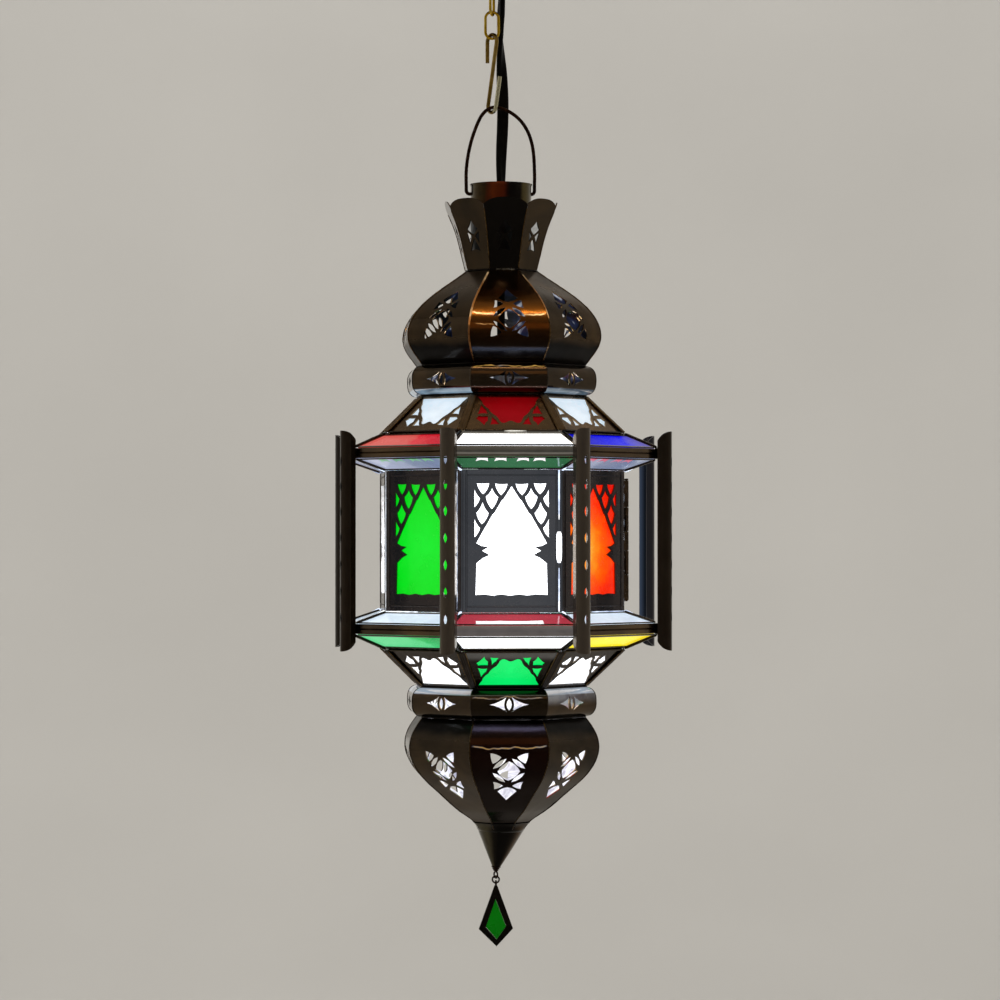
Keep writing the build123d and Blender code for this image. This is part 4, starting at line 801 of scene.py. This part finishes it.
# light that shows through the drum's corner seams and at the ends of the sloping panes' hips
SHORT = {(0, 1): (), (0, -1): (), (7, 1): (), (7, -1): ((-31.0, -4.0),), (1, 1): ((-31.0, -20.0),), (1, -1): ((-2.0, 30.5),)}
leaks = []
for k in (1, 2, 3, 4, 5, 6):
    leaks.append(bead(between(corner(k, 83.0, -44.0), corner(k, 83.0, 44.0), 40), outward(k), 0.00036, 0.0003, rng, 6, 0.3))
leaks.append(bead(between(on_face(7, 28.8, 77.7, -44.0), on_face(7, 28.8, 77.7, 44.5), 40), face_dir(7), 0.00042, 0.00032, rng, 6, 0.25))
leaks.append(bead(between(on_face(0, 30.0, 77.8, 44.8), on_face(0, 30.0, 77.8, 13.5), 24), face_dir(0), 0.00056, 0.0004, rng, 6, 0.15, shape=[1.0, 0.9, 0.85, 0.75, 0.35]))
beam = [bead(between(on_face(0, 30.0, 78.1, 5.8), on_face(0, 30.0, 78.1, -13.8), 30), face_dir(0), 0.00172, 0.0007, rng, 8, 0.02, shape=[0.6, 0.95, 1.0, 1.0, 1.0, 1.0, 1.0, 1.0, 1.0, 0.95, 0.85, 0.45])]
leaks.append(bead(between(on_face(0, 30.0, 77.8, -17.0), on_face(0, 30.0, 77.8, -44.5), 24), face_dir(0), 0.0005, 0.0004, rng, 6, 0.15, shape=[0.5, 0.95, 0.7, 0.8, 0.9]))
for s in (1, -1):
    for k in range(8):
        size = 1.0 if k in (0, 7) else 0.45
        leaks.append(bead(between(corner(k, 84.4, s * 44.7), corner(k, 89.6, s * 46.5), 8), outward(k, -s * 1.2), 0.0010 * size, 0.0004, rng, 6, 0.2, shape=[0.9, 1.0, 0.7, 0.35, 0.15]))
        for u0, u1 in SHORT.get((k, s), ((-30.0, -22.0),)):
            leaks.append(bead(between(on_face(k, u0, 77.7, s * 45.15), on_face(k, u1, 77.7, s * 45.15), 14), face_dir(k, -s * 0.8), 0.00030 * (0.5 + size / 2), 0.0003, rng, 6, 0.35))
vv, ff = sweep(leaks)
add_mesh("seam_light", vv, ff, m_leak, "lantern")
vv, ff = sweep(beam)
add_mesh("seam_beam", vv, ff, m_beam, "lantern")

# painted reflections of the windows in the sloping panes above and below them
def glow_mat(name, colour, power):
    m, t, b = new_mat(name)
    tc = t.nodes.new("ShaderNodeTexCoord")
    cloud = noise(t, tc.outputs["Object"], 260, 3)
    dim = tuple(c * 0.75 for c in colour[:3]) + (1.0,)
    plug(t, b.inputs["Emission Color"], ramp(t, cloud, [(0.35, dim), (0.55, colour)]))
    b.inputs["Emission Strength"].default_value = power
    b.inputs["Base Color"].default_value = colour
    b.inputs["Roughness"].default_value = 0.2
    return m


def on_soffit(k, u, a, s):
    """A point just off the glass of the soffit (s = 1) or the sill (s = -1)."""
    d = 0.62
    return on_face(k, u, a - 0.334 * d, s * (45.35 + (a - 77.34) * 0.354 + 0.943 * d))


def patch(k, s, u0, u1, a0, a1, inset_low, ragged, arch=0.0):
    n = 8
    low, high = [], []
    for i in range(n + 1):
        f = i / n
        low.append((u0 + inset_low + (u1 - u0 - 2 * inset_low) * f, a0 + arch * (1 - (2 * f - 1) ** 2) + rng.uniform(-ragged, ragged)))
        high.append((u0 + (u1 - u0) * f, a1 + rng.uniform(-ragged, ragged) * 0.3))
    ring = low + list(reversed(high))
    top = [on_soffit(k, u, a, s) for u, a in ring]
    # a film 0.03 mm thick, so that it is a closed body
    lift = face_dir(k, -s * math.radians(70.5)) * 0.00003
    n2 = len(top)
    verts = [p - lift for p in top] + [p + lift for p in top]
    faces = [tuple(range(n2)), tuple(reversed(range(n2, 2 * n2)))] + [(i, i + n2, (i + 1) % n2 + n2, (i + 1) % n2) for i in range(n2)]
    return verts, faces


def add_patches(name, items, material):
    verts, faces = [], []
    for item in items:
        v_, f_ = patch(*item)
        o = len(verts)
        verts += v_
        faces += [tuple(i + o for i in fc) for fc in f_]
    return add_mesh(name, verts, faces, material, "lantern", smooth=False)


cups = (-19.8, -8.1, 6.0, 16.4)
white, green, red = [], [], []
for k in range(8):
    for u in cups:
        item = (k, 1, u - 3.0, u + 3.0, 89.0, 95.2, -0.85, 0.12, 2.3)
        (white if k in (0, 4) else green if k in (3, 7) else red if k in (1, 5) else []).append(item)
    if k in (0, 4):
        white.append((k, -1, -24.0, 19.0, 89.2, 95.5, 0.4, 0.75))
add_patches("glints_white", white, glow_mat("window_glint", lin(250, 246, 250), 1.0))
add_patches("glints_green", green, glow_mat("green_glint", lin(128, 182, 150), 0.75))
add_patches("glints_red", red, glow_mat("red_glint", lin(214, 120, 146), 0.75))

# solder that closes the joints between dome, rings, roof, skirt and onion
joints_ = []
for s in (1, -1):
    for r_, z_ in ((57.1, 113.7), (57.7, 94.15)):
        for k in range(8):
            joints_.append(bead(between(corner(k - 1, r_, s * z_), corner(k, r_, s * z_), 16), Vector((0, 0, 1)), 0.00075, 0.0006, rng, 8, 0.12, False))
vv, ff = sweep(joints_)
add_mesh("joint_solder", vv, ff, m_dark, "lantern")

# fillet between the onion's eight sides and the round tip
rings_ = []
for z_, r_, round_ in ((-183.4, 19.75, 0.0), (-185.0, 17.9, 0.25), (-186.4, 16.75, 0.6), (-187.7, 15.95, 1.0), (-189.4, 14.85, 1.0)):
    ring = []
    for j in range(64):
        a = 2 * math.pi * j / 64
        q_ = (a + math.pi / 8) % (math.pi / 4) - math.pi / 8
        flat = r_ * C8 / math.cos(q_)
        rr = flat * (1 - round_) + r_ * round_ * 0.985
        ring.append(Vector((rr * math.sin(a), -rr * math.cos(a), z_)) * 0.001 + Vector((0, 0, MID)))
    rings_.append(ring)
inner_ = []
for ring in reversed(rings_):
    inner_.append([Vector((p.x * 0.975, p.y * 0.975, p.z)) for p in ring])
vv, ff = sweep([rings_ + inner_ + [rings_[0]]], False)
add_mesh("tip_fillet", vv, ff, m_tip, "lantern")

# wire wound round the tip above its eye
coil, turns = [], 2.6
for i in range(66):
    f_ = i / 65
    a = 2 * math.pi * turns * f_ + 2.6
    z_ = -212.3 - 3.0 * f_
    r_ = max(2.95 - 1.75 * f_, 1.35)
    lean_ = -1.43 - 1.97 * (-200.6 - z_) / 14.6
    coil.append(Vector((lean_ + r_ * math.cos(a), r_ * math.sin(a), z_)) * 0.001 + Vector((0, 0, MID)))
vv, ff = sweep([bead(coil, Vector((0, 0, 1)), 0.00042, 0.00042, None, 10, 0.0, True)])
add_mesh("tip_wire", vv, ff, m_wire, "lantern")

# painted highlight on the fold at the top of the front eave
fold_ = [bead(between(on_face(0, -5.0, 77.4, 69.62), on_face(0, 9.5, 77.4, 69.62), 16), face_dir(0, 0.9), 0.0005, 0.00035, rng, 8, 0.15, shape=[0.3, 0.9, 1.0, 1.0, 0.8, 0.3])]
vv, ff = sweep(fold_)
add_mesh("eave_glint", vv, ff, glow_mat("fold_glint", lin(236, 236, 230), 0.9), "lantern")

# irregular solder where the crown meets the dome
blob = []
for k in range(8):
    a, c_ = corner(k - 1, 25.0, 175.9), corner(k, 25.0, 175.9)
    if k == 0:
        run_ = bead(between(a.lerp(c_, 0.22), a.lerp(c_, 0.86), 26), Vector((0, 0, 1)), 0.0006, 0.00062, rng, 8, 0.55)
        vv, ff = sweep([run_])
        add_mesh("crown_solder_front", vv, ff, m_tin, "lantern")
    else:
        blob.append(bead(between(a, c_, 14), Vector((0, 0, 1)), 0.0006, 0.00055, rng, 8, 0.35))
vv, ff = sweep(blob)
add_mesh("crown_solder", vv, ff, m_dark, "lantern")

# ------------------------------------------------------------------ floor and light
mat_floor, t, b = new_mat("pale_floor")
tc = t.nodes.new("ShaderNodeTexCoord")
plug(t, b.inputs["Base Color"], ramp(t, noise(t, tc.outputs["Object"], 1.4, 2), [(0.2, lin(186, 185, 182)), (0.8, lin(194, 193, 190))]))
b.inputs["Roughness"].default_value = 0.9
prof = [(0.0, -1.25), (2.6, -1.25)]
for i in range(1, 13):
    a = math.pi / 2 * i / 12
    prof.append((2.6 + 1.8 * math.sin(a), -1.25 + 1.8 * (1 - math.cos(a))))
prof.append((4.4, 3.4))
vv, ff = [], []
seg = 96
for r, z in prof:
    for j in range(seg):
        a = 2 * math.pi * j / seg
        vv.append((r * math.cos(a), r * math.sin(a), z))
for i in range(len(prof) - 1):
    for j in range(seg):
        p, q = i * seg + j, i * seg + (j + 1) % seg
        ff.append((p, q, q + seg, p + seg))
floor = add_mesh("floor", vv, ff, mat_floor)


def area(name, loc, target, sx, sy, watts, colour=(1, 1, 1), shine=True):
    d = bpy.data.lights.new(name, "AREA")
    d.shape = "RECTANGLE"
    d.size, d.size_y = sx, sy
    d.energy = watts
    d.color = colour
    o = bpy.data.objects.new(name, d)
    scene.collection.objects.link(o)
    o.location = loc
    o.rotation_euler = (Vector(target) - Vector(loc)).to_track_quat("-Z", "Y").to_euler()
    o.visible_camera = False
    o.visible_glossy = shine
    return o


area("wash_back", (0.0, 1.4, 2.3), (0.0, 4.4, 0.1), 3.4, 0.8, 106, (1.0, 0.98, 0.95), False)
area("wash_left", (-1.7, 0.3, 2.3), (-4.4, 0.5, 0.2), 0.8, 2.4, 34, (1.0, 0.97, 0.93), False)
area("wash_right", (1.7, 0.3, 2.3), (4.4, 0.5, 0.2), 0.8, 2.4, 30, (1.0, 0.97, 0.93), False)
area("warm_top", (0.16, -0.78, 1.45), (0, 0, -0.25), 0.5, 0.07, 1.6, (1.0, 0.74, 0.42))
area("warm_front", (0.35, -3.3, 1.3), (0, 0, -0.3), 1.6, 1.3, 3.0, (1.0, 0.56, 0.2))
world = bpy.data.worlds.new("world")
scene.world = world
world.use_nodes = True
bg = world.node_tree.nodes["Background"]
bg.inputs["Color"].default_value = (1.0, 0.90, 0.75, 1.0)
bg.inputs["Strength"].default_value = 0.22
scene.view_settings.view_transform = "Standard"
